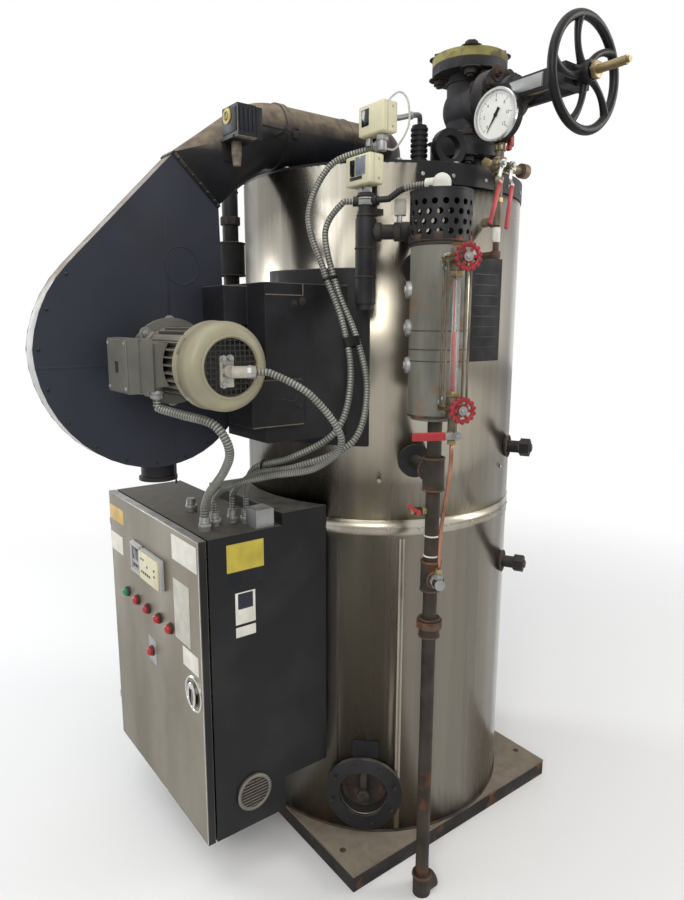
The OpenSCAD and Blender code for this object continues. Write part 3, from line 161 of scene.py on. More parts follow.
# Finishes
# Each finish is a Principled shader whose colour and roughness are varied by noise on Object coordinates.
finishes = {
    # tone: noise scale and how dark the dark patches are
    # streaks: noise drawn out along Z; on the stainless casing it is painted reflection of the
    # surroundings, on the column streaky paint
    # dust: colour, share on faces that look up; lies: how far up they look, from its edge to its full share
    # rust: colour, share; shine: specular level of the paint
    # the vertical bands in the stainless colour are painted reflections of the surroundings
    "stainless": dict(colour=(0.385, 0.362, 0.31), metal=1.0, rough=0.26, streaksAndReflections=(7.0, 0.02, 0.60),
                      brush=0.10),
    "blackSteel": dict(colour=(0.022, 0.022, 0.025), rough=0.42, shine=0.2, tone=(9, 0.6),
                       dust=((0.20, 0.17, 0.14), 0.55), grain=0.05),
    "baseSteel": dict(colour=(0.030, 0.029, 0.028), rough=0.6, shine=0.2, tone=(12, 0.5),
                      dust=((0.17, 0.14, 0.11), 0.6),
                      rust=((0.13, 0.055, 0.025), 0.30), grain=0.15),
    "deckSteel": dict(colour=(0.19, 0.155, 0.115), rough=0.8, tone=(6, 0.5),
                      dust=((0.27, 0.23, 0.175), 0.7),
                      rust=((0.12, 0.085, 0.055), 0.40), grain=0.2),
    "valveIron": dict(colour=(0.036, 0.035, 0.039), rough=0.6, shine=0.2, tone=(18, 0.55),
                      dust=((0.20, 0.18, 0.16), 0.5), grain=0.6),
    "yellowIron": dict(colour=(0.33, 0.29, 0.085), rough=0.6, tone=(14, 0.4),
                       rust=((0.11, 0.085, 0.05), 0.30), grain=0.35),
    # black, with tan over its upper half that is dust and partly painted light from above
    "dustyDuct": dict(colour=(0.009, 0.010, 0.014), rough=0.5, shine=0.2, tone=(7, 0.5),
                      dust=((0.25, 0.20, 0.145), 0.95), grain=0.1,
                      lies=(0.0, 0.5)),
    "slatePaint": dict(colour=(0.030, 0.034, 0.046), rough=0.42, shine=0.2, tone=(4, 0.25),
                       dust=((0.16, 0.15, 0.14), 0.5), grain=0.04),
    "wrapSteel": dict(colour=(0.46, 0.46, 0.44), metal=0.3, rough=0.5, tone=(9, 0.35),
                      dust=((0.25, 0.20, 0.145), 0.95),
                      lies=(0.2, 0.65)),
    "motorPaint": dict(colour=(0.31, 0.285, 0.185), rough=0.34, tone=(8, 0.22),
                       dust=((0.30, 0.26, 0.20), 0.5), grain=0.06),
    "motorGrey": dict(colour=(0.155, 0.152, 0.130), rough=0.45, tone=(10, 0.3),
                      dust=((0.28, 0.24, 0.19), 0.6), grain=0.1),
    "darkWire": dict(colour=(0.035, 0.035, 0.033), rough=0.45, shine=0.2, tone=(20, 0.3)),
    "zinc": dict(colour=(0.40, 0.40, 0.38), metal=0.9, rough=0.45, tone=(30, 0.35)),
    "blackPlastic": dict(colour=(0.014, 0.015, 0.019), rough=0.45, shine=0.2, tone=(14, 0.3),
                         dust=((0.20, 0.16, 0.12), 0.6)),
    "blackPipe": dict(colour=(0.022, 0.022, 0.023), rough=0.5, shine=0.2, tone=(14, 0.5),
                      dust=((0.16, 0.14, 0.11), 0.4), grain=0.15),
    "cabinetBlack": dict(colour=(0.014, 0.0145, 0.016), rough=0.34, shine=0.2, tone=(3, 0.25),
                         dust=((0.16, 0.145, 0.12), 0.75), grain=0.03),
    "cream": dict(colour=(0.66, 0.62, 0.42), rough=0.45, tone=(10, 0.12), dust=((0.42, 0.38, 0.28), 0.35)),
    "paleGrey": dict(colour=(0.42, 0.42, 0.42), rough=0.5, tone=(12, 0.15)),
    "rustyIron": dict(colour=(0.060, 0.048, 0.040), rough=0.72, shine=0.2, tone=(22, 0.55),
                      rust=((0.10, 0.058, 0.036), 0.35), grain=0.6),
    "columnPaint": dict(colour=(0.175, 0.175, 0.150), rough=0.5, streaksAndReflections=(16.0, 0.22, 0.50),
                        rust=((0.19, 0.12, 0.07), 0.46),
                        grain=0.12),
    "rustyPipe": dict(colour=(0.046, 0.038, 0.030), rough=0.6, shine=0.2, tone=(16, 0.5),
                      rust=((0.095, 0.045, 0.024), 0.30), grain=0.25),
    "rustFitting": dict(colour=(0.095, 0.050, 0.030), rough=0.72, tone=(26, 0.45),
                        rust=((0.17, 0.075, 0.035), 0.35), grain=0.5),
    "whiteSeal": dict(colour=(0.72, 0.71, 0.66), rough=0.6, tone=(40, 0.25)),
    "brass": dict(colour=(0.36, 0.28, 0.15), metal=0.9, rough=0.42, tone=(26, 0.5),
                  dust=((0.16, 0.13, 0.09), 0.3)),
    "agedBrass": dict(colour=(0.17, 0.145, 0.10), metal=0.6, rough=0.5, tone=(26, 0.5),
                      dust=((0.16, 0.13, 0.09), 0.4)),
    "dirtyCream": dict(colour=(0.42, 0.40, 0.33), rough=0.5, tone=(30, 0.3),
                       dust=((0.28, 0.24, 0.18), 0.6)),
    "blueWindow": dict(colour=(0.24, 0.27, 0.31), rough=0.14, tone=(40, 0.35)),
    "tieYellow": dict(colour=(0.42, 0.34, 0.08), rough=0.5, tone=(40, 0.3)),
    "copper": dict(colour=(0.40, 0.19, 0.12), metal=1.0, rough=0.36, tone=(24, 0.4)),
    "bezelSteel": dict(colour=(0.55, 0.55, 0.54), metal=1.0, rough=0.22, tone=(20, 0.2)),
    "dialWhite": dict(colour=(0.76, 0.76, 0.72), rough=0.5, tone=(18, 0.08)),
    "inkBlack": dict(colour=(0.010, 0.010, 0.011), rough=0.55, shine=0.2, tone=(20, 0.2)),
    "doorSteel": dict(colour=(0.235, 0.215, 0.170), metal=1.0, rough=0.42, streaksAndReflections=(3.0, 0.5, 0.16),
                      brush=0.16),
    "wheelBlack": dict(colour=(0.009, 0.009, 0.010), rough=0.36, shine=0.2, tone=(16, 0.4),
                       dust=((0.12, 0.10, 0.08), 0.3)),
    "redPaint": dict(colour=(0.30, 0.012, 0.020), rough=0.34, tone=(24, 0.35), grain=0.08),
    "redPlastic": dict(colour=(0.38, 0.018, 0.020), rough=0.25, tone=(30, 0.15)),
    "greenPlastic": dict(colour=(0.012, 0.20, 0.10), rough=0.25, tone=(30, 0.15)),
    # the low rings of its grooves are painted near black, a painted shade
    "conduitGrey": dict(colour=(0.30, 0.305, 0.27), metal=0.4, rough=0.42, tone=(20, 0.35),
                        dust=((0.30, 0.27, 0.21), 0.4),
                        groove=(0.020, 0.020, 0.020)),
    "labelWhite": dict(colour=(0.70, 0.68, 0.60), rough=0.5, tone=(24, 0.12)),
    "labelPale": dict(colour=(0.50, 0.49, 0.42), rough=0.5, tone=(24, 0.12)),
    "chrome": dict(colour=(0.62, 0.62, 0.62), metal=1.0, rough=0.14, tone=(30, 0.15)),
    "dustBrown": dict(colour=(0.20, 0.165, 0.125), rough=0.8, tone=(60, 0.35),
                      dust=((0.30, 0.25, 0.19), 0.6)),
    "darkBolt": dict(colour=(0.046, 0.040, 0.036), rough=0.62, shine=0.2, tone=(30, 0.5),
                     rust=((0.075, 0.045, 0.030), 0.28), grain=0.4),
    "rosyCap": dict(colour=(0.26, 0.16, 0.115), metal=0.6, rough=0.5, tone=(40, 0.4)),
    "gripRed": dict(colour=(0.40, 0.020, 0.026), rough=0.45, tone=(30, 0.3),
                    dust=((0.30, 0.12, 0.10), 0.25)),
    "cageRust": dict(colour=(0.050, 0.030, 0.022), rough=0.75, tone=(34, 0.5),
                     rust=((0.19, 0.075, 0.03), 0.55), grain=0.3),
    "labelYellow": dict(colour=(0.52, 0.42, 0.05), rough=0.5, tone=(24, 0.2)),
    "labelOrange": dict(colour=(0.62, 0.40, 0.12), rough=0.5, tone=(24, 0.2)),
    "darkWindow": dict(colour=(0.012, 0.012, 0.014), rough=0.12, tone=(10, 0.1)),
    "galvanised": dict(colour=(0.34, 0.345, 0.34), metal=0.8, rough=0.42, tone=(16, 0.3),
                       dust=((0.22, 0.20, 0.17), 0.5)),
    "darkBore": dict(colour=(0.010, 0.009, 0.009), rough=0.8, tone=(12, 0.3)),
}


def makeFinish(name, colour, rough, metal=0.0, tone=None, streaksAndReflections=None, brush=None, dust=None, rust=None,
               grain=None, groove=None, lies=(0.15, 0.85), shine=0.5):
    material = bpy.data.materials.new(name)
    material.use_nodes = True
    n, link = material.node_tree.nodes, material.node_tree.links
    shader = n["Principled BSDF"]
    shader.inputs["Metallic"].default_value = metal
    shader.inputs["Specular IOR Level"].default_value = shine
    where = n.new("ShaderNodeTexCoord")

    def grainAt(scale, stretch=(1, 1, 1), detail=4.0):
        turn = n.new("ShaderNodeMapping")
        turn.inputs["Scale"].default_value = stretch
        link.new(where.outputs["Object"], turn.inputs["Vector"])
        cloud = n.new("ShaderNodeTexNoise")
        cloud.inputs["Scale"].default_value = scale
        cloud.inputs["Detail"].default_value = detail
        link.new(turn.outputs[0], cloud.inputs["Vector"])
        return cloud.outputs["Fac"]

    def between(value, low, high, outLow=0.0, outHigh=1.0):
        span = n.new("ShaderNodeMapRange")
        span.inputs["From Min"].default_value, span.inputs["From Max"].default_value = low, high
        span.inputs["To Min"].default_value, span.inputs["To Max"].default_value = outLow, outHigh
        link.new(value, span.inputs["Value"])
        return span.outputs["Result"]

    def times(a, b):
        m = n.new("ShaderNodeMath")
        m.operation = "MULTIPLY"
        link.new(a, m.inputs[0])
        link.new(b, m.inputs[1])
        return m.outputs[0]

    def mixed(share, below, above):
        mix = n.new("ShaderNodeMix")
        mix.data_type = "RGBA"
        link.new(share, mix.inputs["Factor"])
        for socket, value in ((mix.inputs["A"], below), (mix.inputs["B"], above)):
            if isinstance(value, tuple):
                socket.default_value = (*value, 1)
            else:
                link.new(value, socket)
        return mix.outputs["Result"]

    def mixedValue(share, below, above):
        mix = n.new("ShaderNodeMix")
        link.new(share, mix.inputs["Factor"])
        for socket, value in ((mix.inputs["A"], below), (mix.inputs["B"], above)):
            if isinstance(value, float):
                socket.default_value = value
            else:
                link.new(value, socket)
        return mix.outputs["Result"]

    base = n.new("ShaderNodeRGB")
    base.outputs[0].default_value = (*colour, 1)
    painted, roughness = base.outputs[0], None
    # bands along Z: painted reflections on the stainless sheet, streaky paint on the column
    if streaksAndReflections:
        scale, along, depth = streaksAndReflections
        bands = between(grainAt(scale, (1, 1, along), 6.0), 0.36, 0.64)
        warm = between(grainAt(scale * 0.6, (1, 1, along * 0.7), 3.0), 0.45, 0.62)
        painted = mixed(bands, tuple(c * (1 - depth) for c in colour),
                        tuple(min(1.0, c * 1.22) for c in colour))
        painted = mixed(between(warm, 0, 1, 0, 0.35), painted,
                        (colour[0] * 0.92, colour[1] * 0.84, colour[2] * 0.70))
        roughness = between(bands, 0, 1, rough * 1.35, rough * 0.8)
    if tone:
        patches = between(grainAt(tone[0]), 0.30, 0.70)
        painted = mixed(patches, tuple(c * (1 - tone[1]) for c in colour),
                        tuple(min(1.0, c * 1.12) for c in colour))
        roughness = between(patches, 0, 1, min(1.0, rough * 1.25), rough * 0.9)
    if rust:
        spots = between(grainAt(18, detail=8.0), 0.62 - 0.22 * rust[1], 0.70 - 0.16 * rust[1])
        painted = mixed(spots, painted, rust[0])
        roughness = mixedValue(spots, roughness or rough, 0.85)
        if metal:
            link.new(between(spots, 0, 1, metal, 0.0), shader.inputs["Metallic"])
    if dust:
        up = n.new("ShaderNodeSeparateXYZ")
        link.new(where.outputs["Normal"], up.inputs[0])
        lying = between(up.outputs["Z"], *lies)
        loose = between(grainAt(26, detail=6.0), 0.34, 0.60, 0.35, 1.0)
        share = between(times(lying, loose), 0, 1, 0.0, dust[1])
        film = between(grainAt(5, detail=6.0), 0.48, 0.72, 0.0, dust[1] * 0.10)
        painted = mixed(film, painted, dust[0])
        painted = mixed(share, painted, dust[0])
        roughness = mixedValue(share, roughness or rough, 0.9)
        if metal and not rust:
            link.new(between(share, 0, 1, metal, metal * 0.2), shader.inputs["Metallic"])
    # near black where the groove attribute is set: painted shade in a conduit's grooves, and the probe
    # conduit's black sheath
    if groove:
        low = n.new("ShaderNodeAttribute")
        low.attribute_name = "groove"
        painted = mixed(low.outputs["Fac"], painted, groove)
    link.new(painted, shader.inputs["Base Color"])
    if roughness is not None:
        link.new(roughness, shader.inputs["Roughness"])
    else:
        shader.inputs["Roughness"].default_value = rough
    if grain or brush:
        bump = n.new("ShaderNodeBump")
        if grain:
            bump.inputs["Strength"].default_value = grain
            bump.inputs["Distance"].default_value = 0.0012
            link.new(grainAt(160, detail=5.0), bump.inputs["Height"])
        else:
            bump.inputs["Strength"].default_value = brush
            bump.inputs["Distance"].default_value = 0.0004
            link.new(grainAt(420, (1, 1, 0.012), 3.0), bump.inputs["Height"])
        link.new(bump.outputs[0], shader.inputs["Normal"])
    return material


paint = {name: makeFinish(name, **values) for name, values in finishes.items()}

glassClear = bpy.data.materials.new("glassClear")
glassClear.use_nodes = True
clear = glassClear.node_tree.nodes["Principled BSDF"]
clear.inputs["Base Color"].default_value = (0.86, 0.90, 0.89, 1)
clear.inputs["Roughness"].default_value = 0.05
clear.inputs["Transmission Weight"].default_value = 0.85
clear.inputs["IOR"].default_value = 1.15
paint["glassClear"] = glassClear
print("stage: finishes")

# Places
# The same driving sizes as the CAD part, in metres.
casing = {"radius": 0.395, "base": 0.051, "top": 1.831, "seam": 0.958}
columnTurn, columnReach = 63.3, 0.555
outletTurn, outletReach = 102.3, 0.281


def around(azimuth, reach=0.0, z=0.0):
    # +X points away from the casing's axis, +Y along the azimuth, +Z up
    a = math.radians(azimuth)
    place = Vector((reach * math.sin(a), -reach * math.cos(a), z))
    return Matrix.Translation(place) @ Matrix.Rotation(a - math.pi / 2, 4, "Z")


def at(x, y, z):
    return Matrix.Translation((x, y, z))


toX = Matrix.Rotation(math.pi / 2, 4, "Y")    # a shape made along +Z points to +X
toY = Matrix.Rotation(-math.pi / 2, 4, "X")   # ... to +Y
toFront = Matrix.Rotation(math.pi / 2, 4, "X")  # ... to -Y
toLeft = Matrix.Rotation(-math.pi / 2, 4, "Y")  # ... to -X
column = around(columnTurn, columnReach)
outletPoint = around(outletTurn, outletReach).translation
outlet = at(outletPoint.x, outletPoint.y, 0)


# Shapes
def rod(bm, place, radius, length, sides=32, tip=None, edge=0.0):
    made = bmesh.ops.create_cone(bm, cap_ends=True, segments=sides, radius1=radius,
                                 radius2=radius if tip is None else tip, depth=length,
                                 matrix=place @ at(0, 0, length / 2))["verts"]
    if edge:
        rims = {e for v in made for e in v.link_edges if e.calc_face_angle(0) > 0.9}
        made = bmesh.ops.bevel(bm, geom=list(rims), offset=edge, offset_type="OFFSET", segments=2,
                               profile=0.5,
                               affect="EDGES", material=-1, clamp_overlap=True)["verts"]
    return made


def block(bm, place, size, edge=0.0, segments=2):
    # a box whose near lower corner lies at the place
    middle = at(size[0] / 2, size[1] / 2, size[2] / 2)
    made = bmesh.ops.create_cube(bm, size=1, matrix=place @ middle @ Matrix.Diagonal((*size, 1)))["verts"]
    if edge:
        rims = {e for v in made for e in v.link_edges}
        bmesh.ops.bevel(bm, geom=list(rims), offset=edge, offset_type="OFFSET", segments=segments,
                        profile=0.5,
                        affect="EDGES", material=-1, clamp_overlap=True)


def turned(bm, place, profile, steps=48):
    # a profile of (radius, height) points spun about the place's own Z
    verts = [bm.verts.new(place @ Vector((r, 0, z))) for r, z in profile]
    pairs = zip(verts, verts[1:] + verts[:1])
    edges = [bm.edges.new(pair) for pair in pairs]
    axis = (place.to_3x3() @ Vector((0, 0, 1))).normalized()
    bmesh.ops.spin(bm, geom=verts + edges, cent=place.translation, axis=axis, angle=math.tau, steps=steps,
                   use_merge=True, use_duplicate=False)


def ringBar(bm, place, radius, thick, steps=48, sides=12):
    # a round bar bent into a ring
    circle = [(radius + thick * math.cos(math.tau * k / sides), thick * math.sin(math.tau * k / sides))
              for k in range(sides)]
    turned(bm, place, circle, steps)


def bolt(bm, place, across, height, washer=True, shank=0.0):
    # hexagon head with a round washer and, where it shows, the end of its thread
    if washer:
        rod(bm, place, across * 0.95, height * 0.18, 20)
    rod(bm, place @ at(0, 0, height * 0.18), across / math.sqrt(3), height * 0.82, 6, edge=height * 0.08)
    if shank:
        rod(bm, place @ at(0, 0, height), across * 0.30, shank, 14, edge=0.0008)


def nutRing(bm, place, count, circle, across, height, first=0.0, **more):
    for k in range(count):
        turn = Matrix.Rotation(math.radians(first + 360 / count * k), 4, "Z")
        bolt(bm, place @ turn @ at(circle, 0, 0), across, height, **more)


def screw(bm, place, radius):
    # low round head with a slot-like recess
    turned(bm, place, [(0.00001, 0), (radius, 0), (radius, radius * 0.25), (radius * 0.7, radius * 0.55),
                       (radius * 0.2, radius * 0.6),
                       (0.00001, radius * 0.3)], 14)


def tubeAlong(bm, path, radius, sides=10, closedEnds=True, ridges=None):
    # a tube swept along points in space; ridges gives the radius at each point
    points = [Vector(p) for p in path]
    heading = (points[1] - points[0]).normalized()
    side = heading.orthogonal().normalized()
    first = previous = None
    for i, p in enumerate(points):
        ahead = (points[min(i + 1, len(points) - 1)] - points[max(i - 1, 0)]).normalized()
        side = (side - ahead * side.dot(ahead)).normalized()
        other = ahead.cross(side)
        r = ridges[i] if ridges else radius
        ring = [bm.verts.new(p + (side * math.cos(math.tau * k / sides) + other
                                  * math.sin(math.tau * k / sides)) * r)
                for k in range(sides)]
        edges = [bm.edges.new((ring[k], ring[(k + 1) % sides])) for k in range(sides)]
        if previous:
            bmesh.ops.bridge_loops(bm, edges=previous + edges)
        first, previous = first or edges, edges
    if closedEnds:
        bmesh.ops.edgenet_fill(bm, edges=first)
        bmesh.ops.edgenet_fill(bm, edges=previous)


def smoothCurve(points, step):
    # a Catmull-Rom curve through the points, straight at both ends, in pieces about one step long
    p = [Vector(q) for q in points]
    fine = [p[0]]
    for i in range(len(p) - 1):
        a, b, c, d = (p[min(max(k, 0), len(p) - 1)] for k in (i - 1, i, i + 1, i + 2))
        if i in (0, len(p) - 2):
            pieces = [b.lerp(c, t / 40) for t in range(1, 41)]
        else:
            pieces = []
            for k in range(1, 41):
                t = k / 40
                pieces.append(0.5 * ((2 * b) + (c - a) * t + (2 * a - 5 * b + 4 * c - d) * t * t
                                     + (3 * b - a - 3 * c + d) * t * t * t))
        fine += pieces
    length = sum((v - u).length for u, v in zip(fine, fine[1:]))
    count = max(2, round(length / step))
    even, travelled, k = [fine[0]], 0.0, 1
    for u, v in zip(fine, fine[1:]):
        span = (v - u).length
        while k < count and travelled + span >= length * k / count:
            even.append(u.lerp(v, (length * k / count - travelled) / span))
            k += 1
        travelled += span
    return even + [fine[-1]], length


def finished(name, bm, finish, body="root", stands=(), smooth=32.0):
    # turns the bmesh into a piece that rides its CAD body
    bmesh.ops.remove_doubles(bm, verts=bm.verts, dist=0.00001)
    bmesh.ops.recalc_face_normals(bm, faces=bm.faces)
    piece = bpy.data.objects.new(name, bpy.data.meshes.new(name))
    bm.to_mesh(piece.data)
    bm.free()
    scene.collection.objects.link(piece)
    piece.data.materials.append(paint[finish])
    piece.data.shade_smooth()
    piece.data.set_sharp_from_angle(angle=math.radians(smooth))
    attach(piece, body)
    if stands:
        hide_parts(*stands)
    return piece


def single(name, finish, make, *sizes, body="root", stands=(), **more):
    # a piece of one shape
    bm = bmesh.new()
    make(bm, *sizes, **more)
    finished(name, bm, finish, body=body, stands=stands)


def dressed(names, finish, edge, welded=True):
    # CAD nodes that stay: a finish, merged vertices and a small bevel
    for name in names:
        node = nodes[name]
        node.data.materials.clear()
        node.data.materials.append(paint[finish])
        if welded:
            weld = node.modifiers.new("weld", "WELD")
            weld.merge_threshold = 0.00002
        if edge:
            bevel = node.modifiers.new("bevel", "BEVEL")
            bevel.width, bevel.segments, bevel.limit_method = edge, 2, "ANGLE"
            bevel.angle_limit = math.radians(40)
            bevel.use_clamp_overlap = True
            weighted = node.modifiers.new("weighted", "WEIGHTED_NORMAL")
            weighted.keep_sharp = True
        node.data.shade_smooth()
        node.data.set_sharp_from_angle(angle=math.radians(32))


# Flexible conduits
# Each runs through the same points as its CAD tube; the last two points lie straight in its gland.
conduits = {
    "sensorConduit": ("sensor_conduit", 0.015, [
        (0.402, -0.6585, 1.358), (0.417, -0.6385, 1.358), (0.470, -0.570, 1.310), (0.482, -0.505, 1.215),
        (0.395, -0.512, 1.143), (0.270, -0.552, 1.108), (0.160, -0.598, 1.070), (0.100, -0.610, 1.025),
        (0.100, -0.610, 0.9943)]),
    "terminalConduit": ("terminal_conduit", 0.020, [
        (0.185, -0.778, 1.2937), (0.185, -0.778, 1.275), (0.235, -0.748, 1.262), (0.310, -0.708, 1.245),
        (0.318, -0.678, 1.190), (0.255, -0.660, 1.130), (0.160, -0.652, 1.060), (0.123, -0.648, 1.015),
        (0.123, -0.648, 0.9943)]),
    "upperConduit": ("upper_conduit", 0.015, [
        (0.3297, -0.296, 1.846), (0.300, -0.296, 1.846), (0.236, -0.356, 1.813), (0.230, -0.412, 1.700),
        (0.275, -0.402, 1.575), (0.328, -0.385, 1.450), (0.370, -0.395, 1.330), (0.385, -0.445, 1.220),
        (0.300, -0.508, 1.152), (0.185, -0.545, 1.110), (0.125, -0.535, 1.030), (0.125, -0.535, 0.9943)]),
    "lowerConduit": ("lower_conduit", 0.015, [
        (0.3078, -0.3433, 1.727), (0.2958, -0.3593, 1.727), (0.268, -0.392, 1.660), (0.295, -0.378, 1.535),
        (0.350, -0.360, 1.415), (0.398, -0.370, 1.300), (0.420, -0.430, 1.195), (0.320, -0.510, 1.134),
        (0.200, -0.555, 1.100), (0.100, -0.560, 1.030), (0.100, -0.560, 0.9943)]),
    "probeConduit": ("probe_conduit", 0.015, [
        (0.4625, -0.263, 1.750), (0.4385, -0.273, 1.750), (0.408, -0.286, 1.744), (0.378, -0.298, 1.728),
        (0.354, -0.308, 1.728)]),
}


def makeConduit(name, stands, diameter, route, ridgePitch=0.0066, groove=0.84):
    # the interlocked strip shows as a raised, a falling and a low ring in each pitch
    # past its first stretch the probe's conduit is sheathed in black
    fine, length = smoothCurve(route, ridgePitch / 3)
    bm = bmesh.new()
    tubeAlong(bm, fine, diameter / 2, sides=12,
              ridges=[diameter / 2 * (1.0, 0.985, groove)[k % 3] for k in range(len(fine))])
    # the low ring of each pitch is painted near black as shade in its groove
    grooveShadeAndSheath = bm.verts.layers.float.new("groove")
    for i, v in enumerate(bm.verts):
        v[grooveShadeAndSheath] = (0.0, 0.15, 1.0)[i // 12 % 3]
        if name == "probeConduit" and i // 12 > 0.42 * len(fine):
            v[grooveShadeAndSheath] = 1.0
    piece = finished(name, bm, "conduitGrey", stands=[stands], smooth=40)


for conduit, (stands, thick, route) in conduits.items():
    makeConduit(conduit, stands, thick, route)
print("stage: conduits")

# CAD nodes that stay, with their finish
for finish, edge, *kept in (
        ("stainless", 0.0, "jacket_lower", "jacket_upper"),
        ("darkBore", 0.0, "boiler_core"),
        ("blackSteel", 0.002, "top_plate", "burner_head"),
        ("blackSteel", 0.0006, "top_band", "probe_cage"),
        ("baseSteel", 0.003, "base_frame"),
        ("valveIron", 0.003, "valve_body", "valve_bonnet"),
        ("yellowIron", 0.0025, "companion_flange"),
        ("wheelBlack", 0.0, "handwheel"),
        ("brass", 0.001, "valve_stem"),
        ("dustyDuct", 0.0015, "burner_duct", "duct_elbow"),
        ("slatePaint", 0.0008, "scroll_plates"),
        ("wrapSteel", 0.0, "scroll_wrap"),
        ("blackSteel", 0.0015, "fan_inlet", "handhole_ring"),
        ("motorGrey", 0.0006, "motor_body"),
        ("darkWire", 0.0005, "motor_grille"),
        ("motorGrey", 0.004, "terminal_box"),
        ("dirtyCream", 0.001, "speed_sensor"),
        ("blackSteel", 0.0025, "blower_bracket"),
        ("blackPlastic", 0.004, "damper_actuator"),
        ("blackPipe", 0.001, "gas_train", "column_pipes", "side_stub"),
        ("cabinetBlack", 0.0015, "cabinet_body", "cabinet_mount"),
        ("paleGrey", 0.002, "control_gear", "door_controls"),
        ("galvanised", 0.0015, "cable_glands"),
        ("rustyIron", 0.003, "handhole_cover"),
        ("columnPaint", 0.004, "water_column"),
        ("labelWhite", 0.003, "probe_plug"),
        ("rustyPipe", 0.002, "drain_leg"),
        ("agedBrass", 0.0012, "gauge_valves"),
        ("glassClear", 0.0, "gauge_glass"),
        ("copper", 0.0, "drain_tube"),
        ("agedBrass", 0.001, "gauge_siphon"),
        ("inkBlack", 0.002, "pressure_gauge"),
        ("blackPipe", 0.0015, "switch_manifold"),
        ("cream", 0.004, "pressure_switches"),
        ("stainless", 0.001, "flue_collar"),
        ("doorSteel", 0.0025, "cabinet_door"),
        ("inkBlack", 0.0015, "door_handle"),
        ("redPaint", 0.0, "upper_wheel", "lower_wheel"),
        ("redPaint", 0.001, "left_lever", "right_lever", "column_lever", "sample_lever"),
):
    dressed(kept, finish, edge)
dressed(["base_deck"], "deckSteel", 0.0, welded=False)   # its large flat faces shade badly when welded
print("stage: carried-over nodes")


# Casing, base and top
def makeSheetSeam(name, azimuth, low, high, width, screwed):
    # a lap of the casing sheet, hardly proud, with or without a row of screws in it
    single(name, "stainless", block, around(azimuth, casing["radius"] - 0.0004, low) @ at(0, -width / 2, 0),
           (0.0012, width, high - low), 0.0004)
    if not screwed:
        return
    bm = bmesh.new()
    count = round((high - low) / 0.15)
    for k in range(count):
        z = low + (high - low) * (k + 0.5) / count
        screw(bm, around(azimuth, casing["radius"] + 0.001, z) @ toX, 0.0045)
    finished(name + "Screws", bm, "zinc")


makeSheetSeam("lowerSeam", 59.5, casing["base"] + 0.004, casing["seam"] - 0.05, 0.014, False)
makeSheetSeam("upperSeam", 196.0, casing["seam"] + 0.002, casing["top"] - 0.008, 0.032, True)


def makeJointBandScrews():
    bm = bmesh.new()
    for k in range(30):
        screw(bm, around(6 + 12 * k, casing["radius"] + 0.0019, casing["seam"] - 0.024) @ toX, 0.0042)
    for azimuth in (50.5, 110.5):
        screw(bm, around(azimuth, casing["radius"] + 0.0002, 1.062) @ toX, 0.006)
    finished("jointScrews", bm, "zinc")


def makeTopScrews():
    bm = bmesh.new()
    for azimuth in (64, 71.5, 75.5, 90, 105, 120, 135, 148):
        screw(bm, around(azimuth, casing["radius"] + 0.0022, casing["top"] - 0.030) @ toX, 0.0048)
    for k in range(16):
        bolt(bm, around(11 + 22.5 * k, 0.376, casing["top"]), 0.013, 0.007)
    finished("topScrews", bm, "zinc")


def curvedPlate(name, azimuth, span, low, high):
    # a thin plate bent to the casing, between two azimuths and two heights
    radius = casing["radius"] + 0.0001
    bm = bmesh.new()
    start = math.radians(azimuth)
    corners = [bm.verts.new((radius * math.sin(start), -radius * math.cos(start), z)) for z in (low, high)]
    edge = bm.edges.new(corners)
    bmesh.ops.spin(bm, geom=[*corners, edge], cent=(0, 0, 0), axis=(0, 0, 1), angle=math.radians(span),
                   steps=12,
                   use_merge=False, use_duplicate=False)
    bmesh.ops.recalc_face_normals(bm, faces=bm.faces)
    outward = next(iter(bm.faces))
    if outward.normal.dot(outward.calc_center_median() * Vector((1, 1, 0))) < 0:
        bmesh.ops.reverse_faces(bm, faces=bm.faces)
    bmesh.ops.solidify(bm, geom=list(bm.faces), thickness=-0.0009)
    finished(name, bm, "inkBlack")


makeJointBandScrews()
makeTopScrews()
curvedPlate("handholePlate", 41.4, 10.4, 0.279, 0.331)
curvedPlate("casingPlate", 84.5, 18.5, 1.36, 1.62)


def makePlateRules():
    # blank raised rules across the large plate
    bm = bmesh.new()
    for row in range(8):
        for k in range(6):
            block(bm, around(87.5 + 2.4 * k, casing["radius"] + 0.0008, 1.395 + 0.026 * row)
                  @ at(0, -0.0083, 0),
                  (0.0005, 0.0166, 0.0022))
    finished("plateRules", bm, "cabinetBlack")


def makeBaseWeld():
    # the bead that joins the casing to the deck
    bm = bmesh.new()
    ringBar(bm, at(0, 0, casing["base"] + 0.001), casing["radius"] - 0.0005, 0.0045, 96, 8)
    for v in bm.verts:
        v.co += v.co.normalized() * 0.0011 * noise.noise(v.co * 90)
    finished("baseBead", bm, "rustyIron")


makePlateRules()
makeBaseWeld()
print("stage: casing and base")


# Steam stop valve
valve = {"joint": 1.895, "length": 0.203, "thick": 0.023, "circle": 0.152, "bolt": 0.028, "reach": 0.094,
         "wheelOut": 0.341}
valveZ = valve["joint"] + valve["length"] / 2


def flangeBolts(name, z, shank):
    # four bolts through a pair of flanges
    bm = bmesh.new()
    for k in range(4):
        turn = Matrix.Rotation(math.radians(45 + 90 * k), 4, "Z")
        place = outlet @ at(0, 0, z) @ turn @ at(valve["circle"] / 2, 0, 0)
        bolt(bm, place @ at(0, 0, valve["thick"]), valve["bolt"], 0.014, shank=shank)
        below = place @ at(0, 0, -valve["thick"]) @ Matrix.Rotation(math.pi, 4, "X")
        bolt(bm, below, valve["bolt"], 0.014, shank=0.006)
    finished(name, bm, "darkBolt")


def makeGasket(name, z):
    single(name, "rustFitting", rod, outlet @ at(0, 0, z - 0.0012), valve["circle"] / 2 - 0.006, 0.0024, 40)


